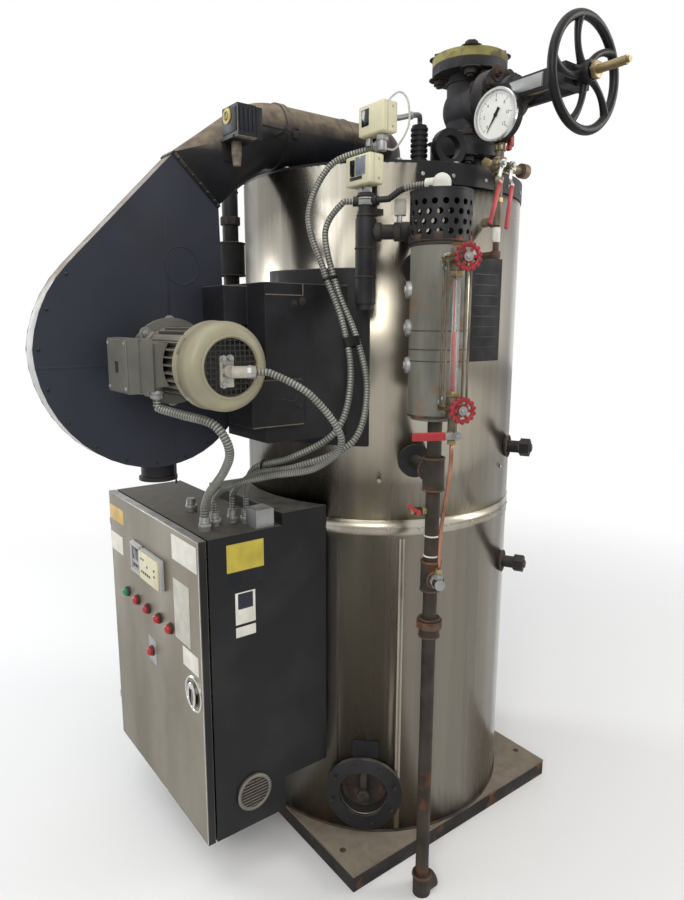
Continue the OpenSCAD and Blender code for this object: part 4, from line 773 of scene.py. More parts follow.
def makeValveBody():
    # casting ribs, the bonnet's nuts, the gland with its two studs and the rectangular yoke head
    bm = bmesh.new()
    heart = outlet @ at(0, 0, valveZ)
    nutRing(bm, heart @ at(valve["reach"] + 0.018, 0, 0) @ toX, 8, 0.062, 0.020, 0.012, first=22.5,
            shank=0.008)
    nutRing(bm, heart @ at(valve["reach"] - 0.018, 0, 0) @ toLeft, 8, 0.062, 0.020, 0.012, first=22.5)
    for z in (-0.062, 0.062):
        # the casting's raised rings beside the flanges
        ringBar(bm, heart @ at(0, 0, z), 0.0565, 0.0042, 48, 10)
    ringBar(bm, heart @ at(0.060, 0, 0) @ toX, 0.0565, 0.0045, 48, 10)
    for side in (-1, 1):
        stud = heart @ at(valve["reach"] + 0.064, 0.036 * side, 0) @ toX
        rod(bm, stud, 0.0050, 0.052, 12)
        bolt(bm, stud @ at(0, 0, 0.016), 0.016, 0.011)
    finished("valveNuts", bm, "darkBolt")
    single("valveGland", "darkBolt", turned, heart @ at(valve["reach"] + 0.064, 0, 0) @ toX,
           [(0.0106, 0), (0.032, 0), (0.034, 0.006), (0.034, 0.012), (0.022, 0.016), (0.0205, 0.034),
            (0.0106, 0.034)], 32)
    bm = bmesh.new()
    block(bm, at(0.4475, outletPoint.y - 0.0478, valveZ - 0.015), (0.094, 0.0020, 0.030), 0.0008)
    block(bm, at(0.5370, outletPoint.y - 0.0500, valveZ - 0.012), (0.0035, 0.0040, 0.024), 0.0010)
    finished("yokePlate", bm, "galvanised")


def makeWheel():
    # curved spokes, hub, rim as one solid; it stands for the CAD wheel
    centre = outlet @ at(valve["wheelOut"], 0, valveZ) @ toX
    rim, thick = 0.116, 0.0105
    bm = bmesh.new()
    ringBar(bm, centre, rim, thick, 72, 16)
    turned(bm, centre, [(0.0100, -0.0165), (0.021, -0.0165), (0.0255, -0.012), (0.0255, 0.016),
                        (0.021, 0.022), (0.0100, 0.022)], 40)
    bend, reach = 0.100, 0.024
    for k in range(5):
        # straight out of the hub, then round on the bend's radius to the rim
        turn = centre @ Matrix.Rotation(math.radians(72 * k), 4, "Z")
        spoke = [turn @ Vector((0.012, 0, 0)), turn @ Vector((0.018, 0, 0))]
        for i in range(14):
            a = math.radians(54.8) * i / 13
            spoke.append(turn @ Vector((reach + bend * math.sin(a), bend * (math.cos(a) - 1), 0)))
        tubeAlong(bm, spoke, 0.008, 14, ridges=[0.0105 - 0.0034 * math.sin(math.pi * i / 15)
                                                for i in range(16)])
    finished("stopWheel", bm, "wheelBlack", body="stop_wheel", stands=["handwheel"], smooth=50)
    single("wheelNut", "brass", bolt, centre @ at(0, 0, 0.0225), 0.034, 0.012, washer=False,
           body="stop_wheel")


flangeBolts("lowerFlangeBolts", valve["joint"], 0.010)
flangeBolts("upperFlangeBolts", valve["joint"] + valve["length"], 0.0)
makeGasket("lowerGasket", valve["joint"])
makeGasket("upperGasket", valve["joint"] + valve["length"])
makeValveBody()
makeWheel()
print("stage: stop valve")

# Control cabinet
# Distances on the door run from its lower left corner, as in the CAD part.
door = {"left": -0.410, "front": -0.705, "bottom": 0.166, "width": 0.612, "height": 0.794}
cabinet = {"right": 0.202, "back": -0.477, "top": 0.960, "ventIn": 0.097, "ventUp": 0.097}
gear = {"left": -0.340, "back": -0.492, "low": 0.326, "pitch": 0.080, "rowPitch": 0.220}
pilots = {"count": 5, "first": 0.124, "pitch": 0.077, "row": 0.516, "low": (0.297, 0.400), "bezel": 0.015,
          "lens": 0.0118}
doorPlates = [
    # name, finish, left, bottom, width, height
    ("plateTop", "labelWhite", 0.460, 0.713, 0.142, 0.065),
    ("plateMiddle", "labelPale", 0.460, 0.506, 0.092, 0.158),
    ("plateLow", "labelWhite", 0.504, 0.449, 0.088, 0.050),
    ("plateCorner", "labelOrange", 0.003, 0.712, 0.114, 0.044),
    ("plateSide", "labelWhite", 0.002, 0.617, 0.096, 0.055),
]


def onDoor(x, z, out=0.0):
    # +X along the door, +Y up it, +Z out of it
    return at(door["left"] + x, door["front"] - out, door["bottom"] + z) @ toFront


def onSide(y, z, out=0.0):
    # +X towards the door's back, +Y up, +Z out of the cabinet's right side
    return at(cabinet["right"] + out, y, z) @ Matrix(((0, 0, 1), (1, 0, 0), (0, 1, 0))).to_4x4()


def makeDoorTrim():
    # the folded edges in bright metal and a light strip on top, painted highlights where the folds catch
    # the light; a black strip down the right side
    bm = bmesh.new()
    w, h, lip = door["width"], door["height"], 0.0035
    for x, z, dx, dz in ((0, 0, w, lip), (0, h - lip, w, lip), (0, lip, lip, h - 2 * lip),
                         (w - lip, lip, lip, h - 2 * lip)):
        block(bm, onDoor(x, z), (dx, dz, 0.0006), 0.0002)
    finished("doorTrimHighlight", bm, "bezelSteel", body="door")
    single("doorTopHighlight", "galvanised", block,
           at(door["left"] + 0.004, door["front"] + 0.001, door["bottom"] + h),
           (w - 0.008, 0.017, 0.0006), 0.0002, body="door")
    single("doorSideEdge", "cabinetBlack", block,
           at(door["left"] + w, door["front"] + 0.0018, door["bottom"] + 0.001),
           (0.0006, 0.0175, h - 0.002), 0.0002, body="door")


def makePlates():
    # plain plates with nothing on them
    for name, finish, left, bottom, width, height in doorPlates:
        single(name, finish, block, onDoor(left, bottom), (width, height, 0.0007), 0.0002, body="door")
    for name, finish, y, z, width, height in (("plateYellow", "labelYellow", -0.633, 0.868, 0.101, 0.070),
                                              ("plateRuled", "blackPlastic", -0.629, 0.833, 0.093, 0.033),
                                              ("plateWhite", "labelWhite", -0.613, 0.731, 0.055, 0.082),
                                              ("plateStrip", "labelWhite", -0.613, 0.698, 0.055, 0.026)):
        single(name, finish, block, onSide(y, z), (width, height, 0.0007), 0.0002)
    single("plateInset", "slatePaint", block, onSide(-0.606, 0.77, 0.0007), (0.041, 0.04, 0.0004), 0.0001)


def makeNarrowController():
    bm = bmesh.new()
    place = onDoor(0.190, 0.604)
    block(bm, place, (0.072, 0.088, 0.009), 0.003, 3)
    for x, z, dx, dz in ((0, 0, 0.072, 0.012), (0, 0.076, 0.072, 0.012), (0, 0.012, 0.012, 0.064),
                         (0.060, 0.012, 0.012, 0.064)):
        block(bm, place @ at(x + 0.001, z + 0.001, 0.008), (dx - 0.002, dz - 0.002, 0.004), 0.0012)
    finished("narrowController", bm, "paleGrey", body="door", stands=["door_controls"])
    bm = bmesh.new()
    block(bm, place @ at(0.014, 0.040, 0.0085), (0.044, 0.034, 0.0018), 0.0006)
    for k in range(3):
        block(bm, place @ at(0.015 + 0.015 * k, 0.018, 0.0085), (0.011, 0.010, 0.0022), 0.001)
    finished("narrowScreen", bm, "darkWindow", body="door")


def makeSquareController():
    bm = bmesh.new()
    place = onDoor(0.272, 0.606)
    block(bm, place, (0.132, 0.084, 0.012), 0.002)
    finished("squareBase", bm, "paleGrey", body="door")
    single("squareFace", "cream", block, place @ at(0.003, 0.003, 0.0118), (0.126, 0.078, 0.0062), 0.0022,
           3, body="door")
    bm = bmesh.new()
    for k in range(5):
        rod(bm, place @ at(0.022 + 0.013 * k, 0.026, 0.0176), 0.0040, 0.0012, 14, edge=0.0004)
    for x, y in ((0.020, 0.062), (0.034, 0.062), (0.108, 0.052), (0.108, 0.036), (0.060, 0.048)):
        rod(bm, place @ at(x, y, 0.0176), 0.0036, 0.0012, 14, edge=0.0004)
    finished("squareKeys", bm, "inkBlack", body="door")


def makePilots():
    # a dark bezel, a ribbed grip and a domed lens each
    spots = [(pilots["first"] + pilots["pitch"] * k, pilots["row"])
             for k in range(pilots["count"])] + [pilots["low"]]
    bm = bmesh.new()
    for x, z in spots:
        turned(bm, onDoor(x, z), [(0.011, 0), (pilots["bezel"], 0), (pilots["bezel"], 0.003),
                                  (0.0138, 0.0052), (0.011, 0.0052)], 28)
    finished("pilotBezels", bm, "darkWire", body="door")
    for name, finish, some in (("pilotGreen", "greenPlastic", spots[:1]),
                               ("pilotRed", "redPlastic", spots[1:])):
        bm = bmesh.new()
        for x, z in some:
            lens = pilots["lens"]
            dome = [(lens * math.cos(a), 0.010 + 0.0078 * math.sin(a)) for a in (0, 0.35, 0.7, 1.05, 1.35)]
            turned(bm, onDoor(x, z), [(0.00001, 0.004), (lens, 0.004), *dome, (0.00001, 0.018)], 24)
            for k in range(12):
                turn = Matrix.Rotation(math.tau * k / 12, 4, "Z")
                grip = onDoor(x, z) @ turn @ at(lens - 0.0004, -0.0012, 0.0048)
                block(bm, grip, (0.0013, 0.0024, 0.0056), 0.0004)
        finished(name, bm, finish, body="door")
    bm = bmesh.new()
    x, z = pilots["low"]
    block(bm, onDoor(x - 0.026, z - 0.036), (0.052, 0.074, 0.0008), 0.0003)
    finished("pilotPlate", bm, "galvanised", body="door")


def makeLatch():
    # a round chromed dish with a folding loop
    latch = onDoor(0.560, 0.392)
    single("latchDish", "chrome", turned, latch,
           [(0.04, 0), (0.046, 0), (0.046, 0.0022), (0.0436, 0.004), (0.0412, 0.0034),
            (0.04, 0.0016)], 48, body="door", stands=["door_handle"])
    single("latchBowl", "doorSteel", turned, latch,
           [(0.00001, 0), (0.0402, 0), (0.0402, 0.0024), (0.03, 0.0013), (0.00001, 0.001)], 48, body="door")
    bm = bmesh.new()
    loop = [(0.017 * math.cos(a) + 0.002, 0.031 * math.sin(a), 0.0078 + 0.0008 * math.sin(a))
            for a in [math.tau * k / 36 for k in range(37)]]
    tubeAlong(bm, [latch @ Vector(q) for q in loop], 0.0035, 10, closedEnds=False)
    rod(bm, latch @ at(0.002, 0.023, 0.0012), 0.0060, 0.0095, 20, edge=0.001)
    finished("latchLoop", bm, "chrome", body="door")
    bm = bmesh.new()
    # a thin black plate as painted shade in the dish's recess, and the loop's black pivot block
    block(bm, latch @ at(-0.030, -0.026, 0.0013), (0.013, 0.052, 0.0006), 0.0002)
    block(bm, latch @ at(0.006, -0.020, 0.0013), (0.012, 0.024, 0.0050), 0.0015)
    finished("latchCore", bm, "inkBlack", body="door")


def makeVent():
    # round ventilation grille low on the side, its slats brown with dust
    centre = onSide(cabinet["back"] - cabinet["ventIn"], door["bottom"] + cabinet["ventUp"], 0.0055)
    single("ventRing", "motorGrey", turned, centre,
           [(0.0405, 0), (0.049, 0), (0.049, 0.0012), (0.0465, 0.0032), (0.0425, 0.0032),
            (0.0405, 0.0016)], 56)
    bm = bmesh.new()
    for k in range(9):
        up = -0.034 + 0.0085 * k
        half = math.sqrt(0.0408 ** 2 - up ** 2)
        slat = centre @ at(-half, up - 0.003, 0.0004) @ Matrix.Rotation(math.radians(-24), 4, "X")
        block(bm, slat, (2 * half, 0.0074, 0.0010), 0.0003)
    finished("ventSlats", bm, "dustBrown")


def makeGlandNuts():
    # each entry has a hexagon below its domed cap
    bm = bmesh.new()
    for inFromRight, out in ((0.077, 0.058), (0.102, 0.083), (0.102, 0.133), (0.079, 0.171),
                             (0.262, 0.123)):
        place = at(cabinet["right"] - inFromRight, cabinet["back"] - out, cabinet["top"])
        rod(bm, place @ at(0, 0, 0.0055), 0.0172, 0.011, 6, edge=0.001)
        for k in range(3):
            ringBar(bm, place @ at(0, 0, 0.021 + 0.0045 * k), 0.0119, 0.0012, 24, 6)
    finished("glandNuts", bm, "zinc")
    bm = bmesh.new()
    for x, y in ((0.006, 0.006), (0.046, 0.006), (0.006, 0.044), (0.046, 0.044)):
        screw(bm, at(cabinet["right"] - 0.062 + x, cabinet["back"] - 0.068 + y, cabinet["top"] + 0.046),
              0.0032)
    finished("cabinetScrews", bm, "zinc")


def makeGear():
    # rails, wiring channels and the faces of the gear behind the door
    bm = bmesh.new()
    for row in range(3):
        block(bm, at(gear["left"] - 0.012, gear["back"] - 0.006,
                     gear["low"] + gear["rowPitch"] * row + 0.028), (0.484, 0.007, 0.034), 0.001)
    finished("gearRails", bm, "zinc")
    bm = bmesh.new()
    for row in range(3):
        z = gear["low"] + gear["rowPitch"] * row - 0.080
        block(bm, at(gear["left"] - 0.012, gear["back"] - 0.030, z), (0.484, 0.031, 0.044), 0.001)
        for k in range(30):
            block(bm, at(gear["left"] - 0.004 + 0.016 * k, gear["back"] - 0.0312, z + 0.010),
                  (0.004, 0.0016, 0.024))
    finished("gearChannels", bm, "motorGrey")
    faces, marks, screws = bmesh.new(), bmesh.new(), bmesh.new()
    for row in range(3):
        for k in range(6):
            x, z = gear["left"] + gear["pitch"] * k, gear["low"] + gear["rowPitch"] * row
            if row == 1:
                block(faces, at(x + 0.003, gear["back"] - 0.0535, z + 0.014), (0.054, 0.004, 0.062), 0.001)
                block(marks, at(x + 0.020, gear["back"] - 0.0550, z + 0.034), (0.020, 0.002, 0.022), 0.0006)
            else:
                for n in range(3):
                    block(faces, at(x + 0.005 + 0.0175 * n, gear["back"] - 0.0530, z + 0.032),
                          (0.014, 0.0035, 0.026), 0.001)
                    block(marks, at(x + 0.0085 + 0.0175 * n, gear["back"] - 0.0575, z + 0.040),
                          (0.007, 0.006, 0.010), 0.001)
            for n in range(3):
                for up in (0.008, 0.082):
                    screw(screws, at(x + 0.012 + 0.0175 * n, gear["back"] - 0.0499, z + up) @ toFront,
                          0.0036)
    finished("gearFaces", faces, "blackPlastic")
    finished("gearMarks", marks, "paleGrey")
    finished("gearScrews", screws, "zinc")


makeGear()
makeDoorTrim()
makePlates()
makeNarrowController()
makeSquareController()
makePilots()
makeLatch()
makeVent()
makeGlandNuts()
print("stage: cabinet")


# Blower
blower = {"y": -0.690, "z": 1.366, "radius": 0.305, "shrink": 0.0006, "tilt": 46, "outletEnd": 0.355,
          "throat": 0.150, "thick": 0.060, "plate": 0.003, "body": 0.082}


def atMotor(x):
    # +Z points along the motor's shaft, away from the scroll; +X points down
    return at(blower["thick"] + x, blower["y"], blower["z"]) @ toX


def scrollRadius(turn):
    return blower["radius"] - (blower["shrink"] * (turn - 175) if turn > 175 else 0)


def makeScrollBand():
    # the wrap's outer sheet, level with the lips of both side plates, and its laps
    bm = bmesh.new()
    tilt = math.radians(blower["tilt"])
    outer, inner = -0.0006, -0.0038
    x0, x1 = blower["plate"] + 0.0004, blower["thick"] - blower["plate"] - 0.0004

    def around3(turn, out, x):
        a, reach = math.radians(turn), scrollRadius(turn) + out
        return Vector((x, blower["y"] + reach * math.cos(a), blower["z"] + reach * math.sin(a)))

    rings = []
    along = Vector((0, math.cos(tilt), math.sin(tilt)))
    up = Vector((0, -math.sin(tilt), math.cos(tilt)))
    axis = Vector((0, blower["y"], blower["z"]))
    for k in range(8):
        # the straight stretch that runs up to the outlet
        reach = blower["outletEnd"] * (1 - k / 8)
        rings.append([axis + along * reach + up * (blower["radius"] + out) + Vector((x, 0, 0))
                      for out, x in ((outer, x0), (outer, x1), (inner, x1), (inner, x0))])
    turn = 90 + blower["tilt"]
    while turn < 398:
        rings.append([around3(turn, out, x)
                      for out, x in ((outer, x0), (outer, x1), (inner, x1), (inner, x0))])
        turn += 4
    loops = []
    for ring in rings:
        verts = [bm.verts.new(v) for v in ring]
        loops.append([bm.edges.new((verts[k], verts[(k + 1) % 4])) for k in range(4)])
    for a, b in zip(loops, loops[1:]):
        bmesh.ops.bridge_loops(bm, edges=a + b)
    bmesh.ops.edgenet_fill(bm, edges=loops[0])
    bmesh.ops.edgenet_fill(bm, edges=loops[-1])
    finished("scrollBand", bm, "wrapSteel", smooth=30)


def makeScrollCreases():
    # the stiffening creases of the side plate and a faint ring where a port was blanked
    bm = bmesh.new()
    face = blower["thick"]
    for y, z, dy, dz in ((-0.985, 1.357, 0.190, 0.005), (-0.6925, 1.070, 0.005, 0.195),
                         (-0.6925, 1.470, 0.005, 0.215)):
        block(bm, at(face - 0.0002, y, z), (0.0011, dy, dz), 0.0005)
    ringBar(bm, at(face, -0.655, 1.585) @ toX, 0.043, 0.0013, 48, 6)
    finished("scrollCreases", bm, "slatePaint")
    bm = bmesh.new()
    for turn in range(140, 395, 17):
        a, reach = math.radians(turn), scrollRadius(turn) - 0.012
        screw(bm, at(face, blower["y"] + reach * math.cos(a), blower["z"] + reach * math.sin(a)) @ toX,
              0.0038)
    finished("scrollScrews", bm, "blackSteel")


def makeMotorDetails():
    # flange bolts, lifting boss, the cowl's slots and screws
    bm = bmesh.new()
    nutRing(bm, atMotor(0.012), 4, 0.0905, 0.016, 0.009, first=45, shank=0.004)
    nutRing(bm, atMotor(0.0005), 4, 0.0905, 0.016, 0.006, first=0)
    finished("motorBolts", bm, "zinc")
    bm = bmesh.new()
    for turn in (0, 90, 180, 270):
        ear = atMotor(0.0) @ Matrix.Rotation(math.radians(turn + 45), 4, "Z")
        block(bm, ear @ at(0.070, -0.013, 0.012), (0.017, 0.026, 0.022), 0.004, 3)
    for k in range(2):
        turn = Matrix.Rotation(math.radians(135 + 90 * k), 4, "Z")
        block(bm, atMotor(0.040) @ turn @ at(0.060, -0.009, 0), (0.022, 0.018, 0.165), 0.003)
    finished("motorEars", bm, "motorGrey")
    bm = bmesh.new()
    for turn in (62, 118, 242, 298):
        slot = atMotor(0.238) @ Matrix.Rotation(math.radians(turn), 4, "Z") @ at(0.0915, -0.018, 0)
        block(bm, slot, (0.0012, 0.036, 0.010), 0.0004)
    finished("cowlSlots", bm, "motorGrey")
    bm = bmesh.new()
    for turn in (45, 135, 225, 315):
        screw(bm, atMotor(0.230) @ Matrix.Rotation(math.radians(turn), 4, "Z") @ at(0.0920, 0, 0) @ toX,
              0.0042)
    finished("cowlScrews", bm, "zinc")
    bm = bmesh.new()
    ringBar(bm, atMotor(0.2240), 0.0918, 0.0016, 96, 8)
    ringBar(bm, atMotor(0.2995), 0.0628, 0.0022, 72, 8)
    finished("cowlRims", bm, "motorPaint")


def makeCowl():
    # the fan cowl, a little shorter and rounder than the CAD one it stands for
    start, shoulder, radius, bend = 0.2225, 0.2720, 0.0920, 0.0255
    profile = [(0.0822, start), (radius, start), (radius, 0.2400), (radius - 0.0006, 0.2410),
               (radius, 0.2420)]
    for k in range(9):
        a = math.radians(10 * k)
        profile.append((radius - bend * (1 - math.cos(a)), shoulder + bend * math.sin(a)))
    profile += [(0.0590, 0.2990), (0.0590, 0.2965), (0.0690, 0.2960), (0.0780, 0.2870), (0.0822, 0.2680)]
    single("motorCowl", "motorPaint", turned, atMotor(0), profile, 96, stands=["motor_cowl"])


def makeTerminalLid():
    # the box's lid with its four screws, a bare badge and the seam of its neck
    front = blower["y"] - blower["body"] - 0.078
    bm = bmesh.new()
    block(bm, at(0.104, front - 0.003, 1.3120), (0.114, 0.004, 0.108), 0.0018, 3)
    for z in (1.3095, 1.4205):
        block(bm, at(0.100, front + 0.023, z - 0.0015), (0.122, 0.006, 0.003), 0.0008)
    finished("terminalLid", bm, "motorGrey")
    bm = bmesh.new()
    for x in (0.112, 0.210):
        for z in (1.320, 1.412):
            screw(bm, at(x, front - 0.003, z) @ toFront, 0.0042)
    finished("terminalScrews", bm, "zinc")
    single("terminalBadge", "darkWire", block, at(0.152, front - 0.0036, 1.351), (0.018, 0.001, 0.024),
           0.0003)
    bm = bmesh.new()
    rod(bm, at(0.185, -0.778, 1.2945), 0.0155, 0.009, 6, edge=0.001)
    rod(bm, at(0.185, -0.778, 1.3040), 0.0165, 0.008, 24, edge=0.001)
    finished("terminalGland", bm, "zinc")


def makeSensor():
    # the sensor's strap with its screws, the boss and the union of its lead
    bm = bmesh.new()
    plate = 0.3572
    block(bm, at(plate, -0.7165, 1.3265), (0.0045, 0.031, 0.063), 0.0012)
    block(bm, at(plate + 0.003, -0.711, 1.348), (0.010, 0.020, 0.026), 0.002)
    finished("sensorStrap", bm, "motorGrey")
    bm = bmesh.new()
    for y, z in ((-0.7085, 1.3335), (-0.7085, 1.3825), (-0.6935, 1.3835)):
        bolt(bm, at(plate + 0.0045, y, z) @ toX, 0.009, 0.005)
    finished("sensorBolts", bm, "zinc")
    lead = Vector((3, 4, 0)).normalized()
    start = Vector((0.3742, -0.6956, 1.358))
    turnToLead = lead.to_track_quat("Z", "Y").to_matrix().to_4x4()
    bm = bmesh.new()
    union = Matrix.Translation(start + lead * 0.030) @ turnToLead
    rod(bm, union, 0.0135, 0.010, 8, edge=0.001)
    for k in range(2):
        ringBar(bm, union @ at(0, 0, 0.0125 + 0.004 * k), 0.0122, 0.0014, 24, 6)
    finished("sensorUnion", bm, "galvanised")


makeScrollBand()
makeScrollCreases()
makeMotorDetails()
makeCowl()
makeTerminalLid()
makeSensor()
print("stage: blower")


# Water column, its glass and the pipes below
glass = {"out": 0.115, "hand": 0.172, "top": 1.582, "low": 1.282, "wheel": 0.0285}
columnFace = {"radius": 0.0635, "low": 1.243, "top": 1.623}


def facing(place, direction):
    # +Z points along a direction in the world
    return Matrix.Translation(place) @ Vector(direction).to_track_quat("Z", "Y").to_matrix().to_4x4()


def makeSmallWheel(name, body, stands, z):
    # fourteen lobes round a webbed disc, with a grey nut on the spindle
    centre = column @ at(glass["hand"], 0, z) @ toX
    rim = glass["wheel"] - 0.0040
    bm = bmesh.new()
    ringBar(bm, centre, rim - 0.0030, 0.0036, 48, 10)
    for k in range(14):
        lobe = centre @ Matrix.Rotation(math.tau * k / 14, 4, "Z") @ at(rim - 0.0006, 0, -0.0046)
        rod(bm, lobe, 0.0046, 0.0092, 14, edge=0.0020)
    for k in range(6):
        web = centre @ Matrix.Rotation(math.tau * (k + 0.5) / 6, 4, "Z") @ at(0.006, -0.0032, -0.0018)
        block(bm, web, (rim - 0.007, 0.0064, 0.0036), 0.0012)
    turned(bm, centre, [(0.0035, -0.006), (0.0085, -0.006), (0.0095, -0.003), (0.0085, 0.0045),
                        (0.0035, 0.0045)], 24)
    finished(name, bm, "redPaint", body=body, stands=[stands], smooth=40)
    bm = bmesh.new()
    rod(bm, centre @ at(0, 0, -0.0237), 0.0045, 0.0275, 16)
    bolt(bm, centre @ at(0, 0, 0.0040), 0.0098, 0.0050)
    finished(name + "Nut", bm, "galvanised", body=body)


def makeColumnDetails():
    # weld bands, side plugs and the rust-marked foot of the cage
    bm = bmesh.new()
    for z in (1.439, 1.399, 1.374):
        ringBar(bm, column @ at(0, 0, z), columnFace["radius"] - 0.0002, 0.0011, 72, 6)
    finished("columnBands", bm, "darkBolt")
    bm = bmesh.new()
    for z in (columnFace["top"] - 0.004, columnFace["low"] + 0.010):
        ringBar(bm, column @ at(0, 0, z), columnFace["radius"] - 0.0010, 0.0030, 72, 8)
    finished("columnWelds", bm, "cageRust")
    bm = bmesh.new()
    heart = column.translation
    out = Vector((-0.6033, -0.7975, 0))
    for z in (1.527, 1.445, 1.363):
        place = facing(heart + out * (columnFace["radius"] - 0.004) + Vector((0, 0, z)), out)
        turned(bm, place, [(0.00001, 0), (0.019, 0), (0.019, 0.009), (0.0165, 0.0125), (0.009, 0.0130),
                           (0.009, 0.0155), (0.00001, 0.0155)], 32)
    finished("columnPlugs", bm, "galvanised")
    bm = bmesh.new()
    ringBar(bm, column @ at(0, 0, columnFace["top"] + 0.0035), 0.0672, 0.0012, 72, 6)
    for k in range(9):
        turn = column @ Matrix.Rotation(math.tau * k / 9 + 0.3, 4, "Z")
        block(bm, turn @ at(0.0668, -0.010, columnFace["top"] + 0.002),
              (0.0009, 0.020, 0.011 + 0.003 * (k % 3)), 0.0003)
    finished("cageFoot", bm, "cageRust")
    bm = bmesh.new()
    for k in range(4):
        bolt(bm, column @ Matrix.Rotation(math.tau * (k + 0.5) / 4, 4, "Z") @ at(0.050, 0, 1.731), 0.0095,
             0.005)
    bolt(bm, column @ at(0, 0, 1.7355), 0.030, 0.0008)
    finished("cageBolts", bm, "darkBolt")


def makeGlass():
    # the glass is read against a white strip with a red line, which the water below its level widens
    bm = bmesh.new()
    strip = column @ at(glass["out"] - 0.0095, 0, 0)
    block(bm, strip @ at(0, -0.0060, glass["low"] + 0.018), (0.0012, 0.0120, 0.138), 0.0004)
    block(bm, strip @ at(0, -0.0030, glass["low"] + 0.150), (0.0012, 0.0060, 0.132), 0.0004)
    finished("glassBack", bm, "labelPale")
    bm = bmesh.new()
    block(bm, strip @ at(0.0011, -0.0050, glass["low"] + 0.021), (0.0008, 0.0100, 0.135), 0.0003)
    block(bm, strip @ at(0.0011, -0.0012, glass["low"] + 0.155), (0.0008, 0.0024, 0.122), 0.0003)
    finished("glassStrip", bm, "redPlastic")
    bm = bmesh.new()
    for z in (glass["low"], glass["top"]):
        for side in (-1, 1):
            up = column @ at(glass["out"], 0, z + 0.0225 * side)
            if side * (glass["top"] + glass["low"] - 2 * z) > 0:
                rod(bm, up if side > 0 else up @ at(0, 0, -0.012), 0.0145, 0.012, 6, edge=0.001)
        for y in (-0.024, 0.024):
            for x in (-0.013, 0.013):
                bolt(bm, column @ at(glass["out"] + x, y, z + 0.0042), 0.0082, 0.0042)
                bolt(bm, column @ at(glass["out"] + x, y, z - 0.0042) @ Matrix.Rotation(math.pi, 4, "X"),
                     0.0082, 0.0042)
    finished("glassNuts", bm, "brass")
    bm = bmesh.new()
    for z in (glass["low"], glass["top"]):
        turned(bm, column @ at(columnFace["radius"] - 0.001, 0, z) @ toX,
               [(0.0112, 0), (0.0185, 0), (0.0185, 0.004), (0.0150, 0.0075), (0.0112, 0.0075)], 32)
        rod(bm, column @ at(columnFace["radius"] + 0.010, 0, z) @ toX, 0.0150, 0.012, 6, edge=0.001)
    finished("glassUnions", bm, "galvanised")


def makeColumnLever():
    # a flat lever dipped in red across the cock below the glass
    bm = bmesh.new()
    hub = column @ at(glass["out"] + 0.0243, 0, 1.226)
    rod(bm, hub @ toX, 0.009, 0.009, 20, edge=0.001)
    bolt(bm, hub @ at(0.0088, 0, 0) @ toX, 0.0095, 0.005)
    block(bm, hub @ at(0.0032, -0.030, -0.0075), (0.0034, 0.034, 0.015), 0.0012)
    finished("columnLeverShank", bm, "galvanised", body="column_cock", stands=["column_lever"])
    single("columnLeverGrip", "gripRed", block, hub @ at(0.0022, -0.096, -0.0088), (0.0056, 0.072, 0.0176),
           0.0024, 3, body="column_cock")


def makeSampleLever():
    bm = bmesh.new()
    hub = column @ at(0.0123, -0.038, 1.028) @ Matrix.Rotation(math.radians(-35), 4, "X")
    rod(bm, hub @ toX, 0.006, 0.006, 16, edge=0.0008)
    block(bm, hub @ at(0.002, -0.034, -0.004), (0.003, 0.034, 0.008), 0.0014, 3)
    finished("sampleHandle", bm, "gripRed", body="sample_cock", stands=["sample_lever"])
    bm = bmesh.new()
    rod(bm, column @ at(0, -0.0455, 1.028) @ toFront, 0.0112, 0.009, 6, edge=0.0008)
    rod(bm, column @ at(0, -0.0165, 1.028) @ toFront, 0.0118, 0.010, 6, edge=0.0008)
    finished("sampleNuts", bm, "brass")


def makeDrainDetails():
    # coupling beads, a valve with its pale wheel side, and seal rings
    bm = bmesh.new()
    for z, radius in ((1.078, 0.0258), (1.152, 0.0258), (0.834, 0.0248), (0.904, 0.0248), (0.717, 0.0258),
                      (0.761, 0.0258)):
        ringBar(bm, column @ at(0, 0, z), radius - 0.0016, 0.0028, 40, 8)
    ringBar(bm, column @ at(-0.0400, 0, 1.115) @ toX, 0.0242, 0.0028, 40, 8)
    ringBar(bm, column @ at(0.0350, 0, 0.869) @ toX, 0.0190, 0.0026, 32, 8)
    turned(bm, column @ at(0, 0, 0.0), [(0.0168, 0.0575), (0.0252, 0.0575), (0.0258, 0.052),
                                        (0.0235, 0.050), (0.0168, 0.050)], 32)
    finished("drainBeads", bm, "rustFitting")
    single("drainUnion", "rustFitting", rod, column @ at(0, 0, 0.7385), 0.0325, 0.019, 8, edge=0.0015)
    bm = bmesh.new()
    for z in (0.967, 0.918):
        ringBar(bm, column @ at(0, 0, z), 0.0171, 0.0020, 32, 8)
    finished("drainSeals", bm, "whiteSeal")
    bm = bmesh.new()
    rod(bm, column @ at(0.0360, 0, 0.869) @ toX, 0.0160, 0.014, 6, edge=0.001)
    rod(bm, column @ at(0.058, 0, 0.8805), 0.0112, 0.012, 6, edge=0.0008)
    rod(bm, column @ at(0.0495, 0, 0.869) @ toX, 0.0128, 0.022, 24, edge=0.002)
    finished("drainCock", bm, "galvanised")
    bm = bmesh.new()
    rod(bm, column @ at(glass["out"], 0, 1.2035), 0.0105, 0.012, 6, edge=0.0008)
    rod(bm, column @ at(glass["out"], 0, 1.2170), 0.0125, 0.016, 6, edge=0.001)
    rod(bm, column @ at(0.058, 0, 0.8925), 0.0080, 0.012, 6, edge=0.0006)
    finished("tubeNuts", bm, "brass")


makeSmallWheel("upperGlassWheel", "upper_gauge_wheel", "upper_wheel", glass["top"])
makeSmallWheel("lowerGlassWheel", "lower_gauge_wheel", "lower_wheel", glass["low"])
makeColumnDetails()
makeGlass()
makeColumnLever()
makeSampleLever()
makeDrainDetails()
print("stage: water column")


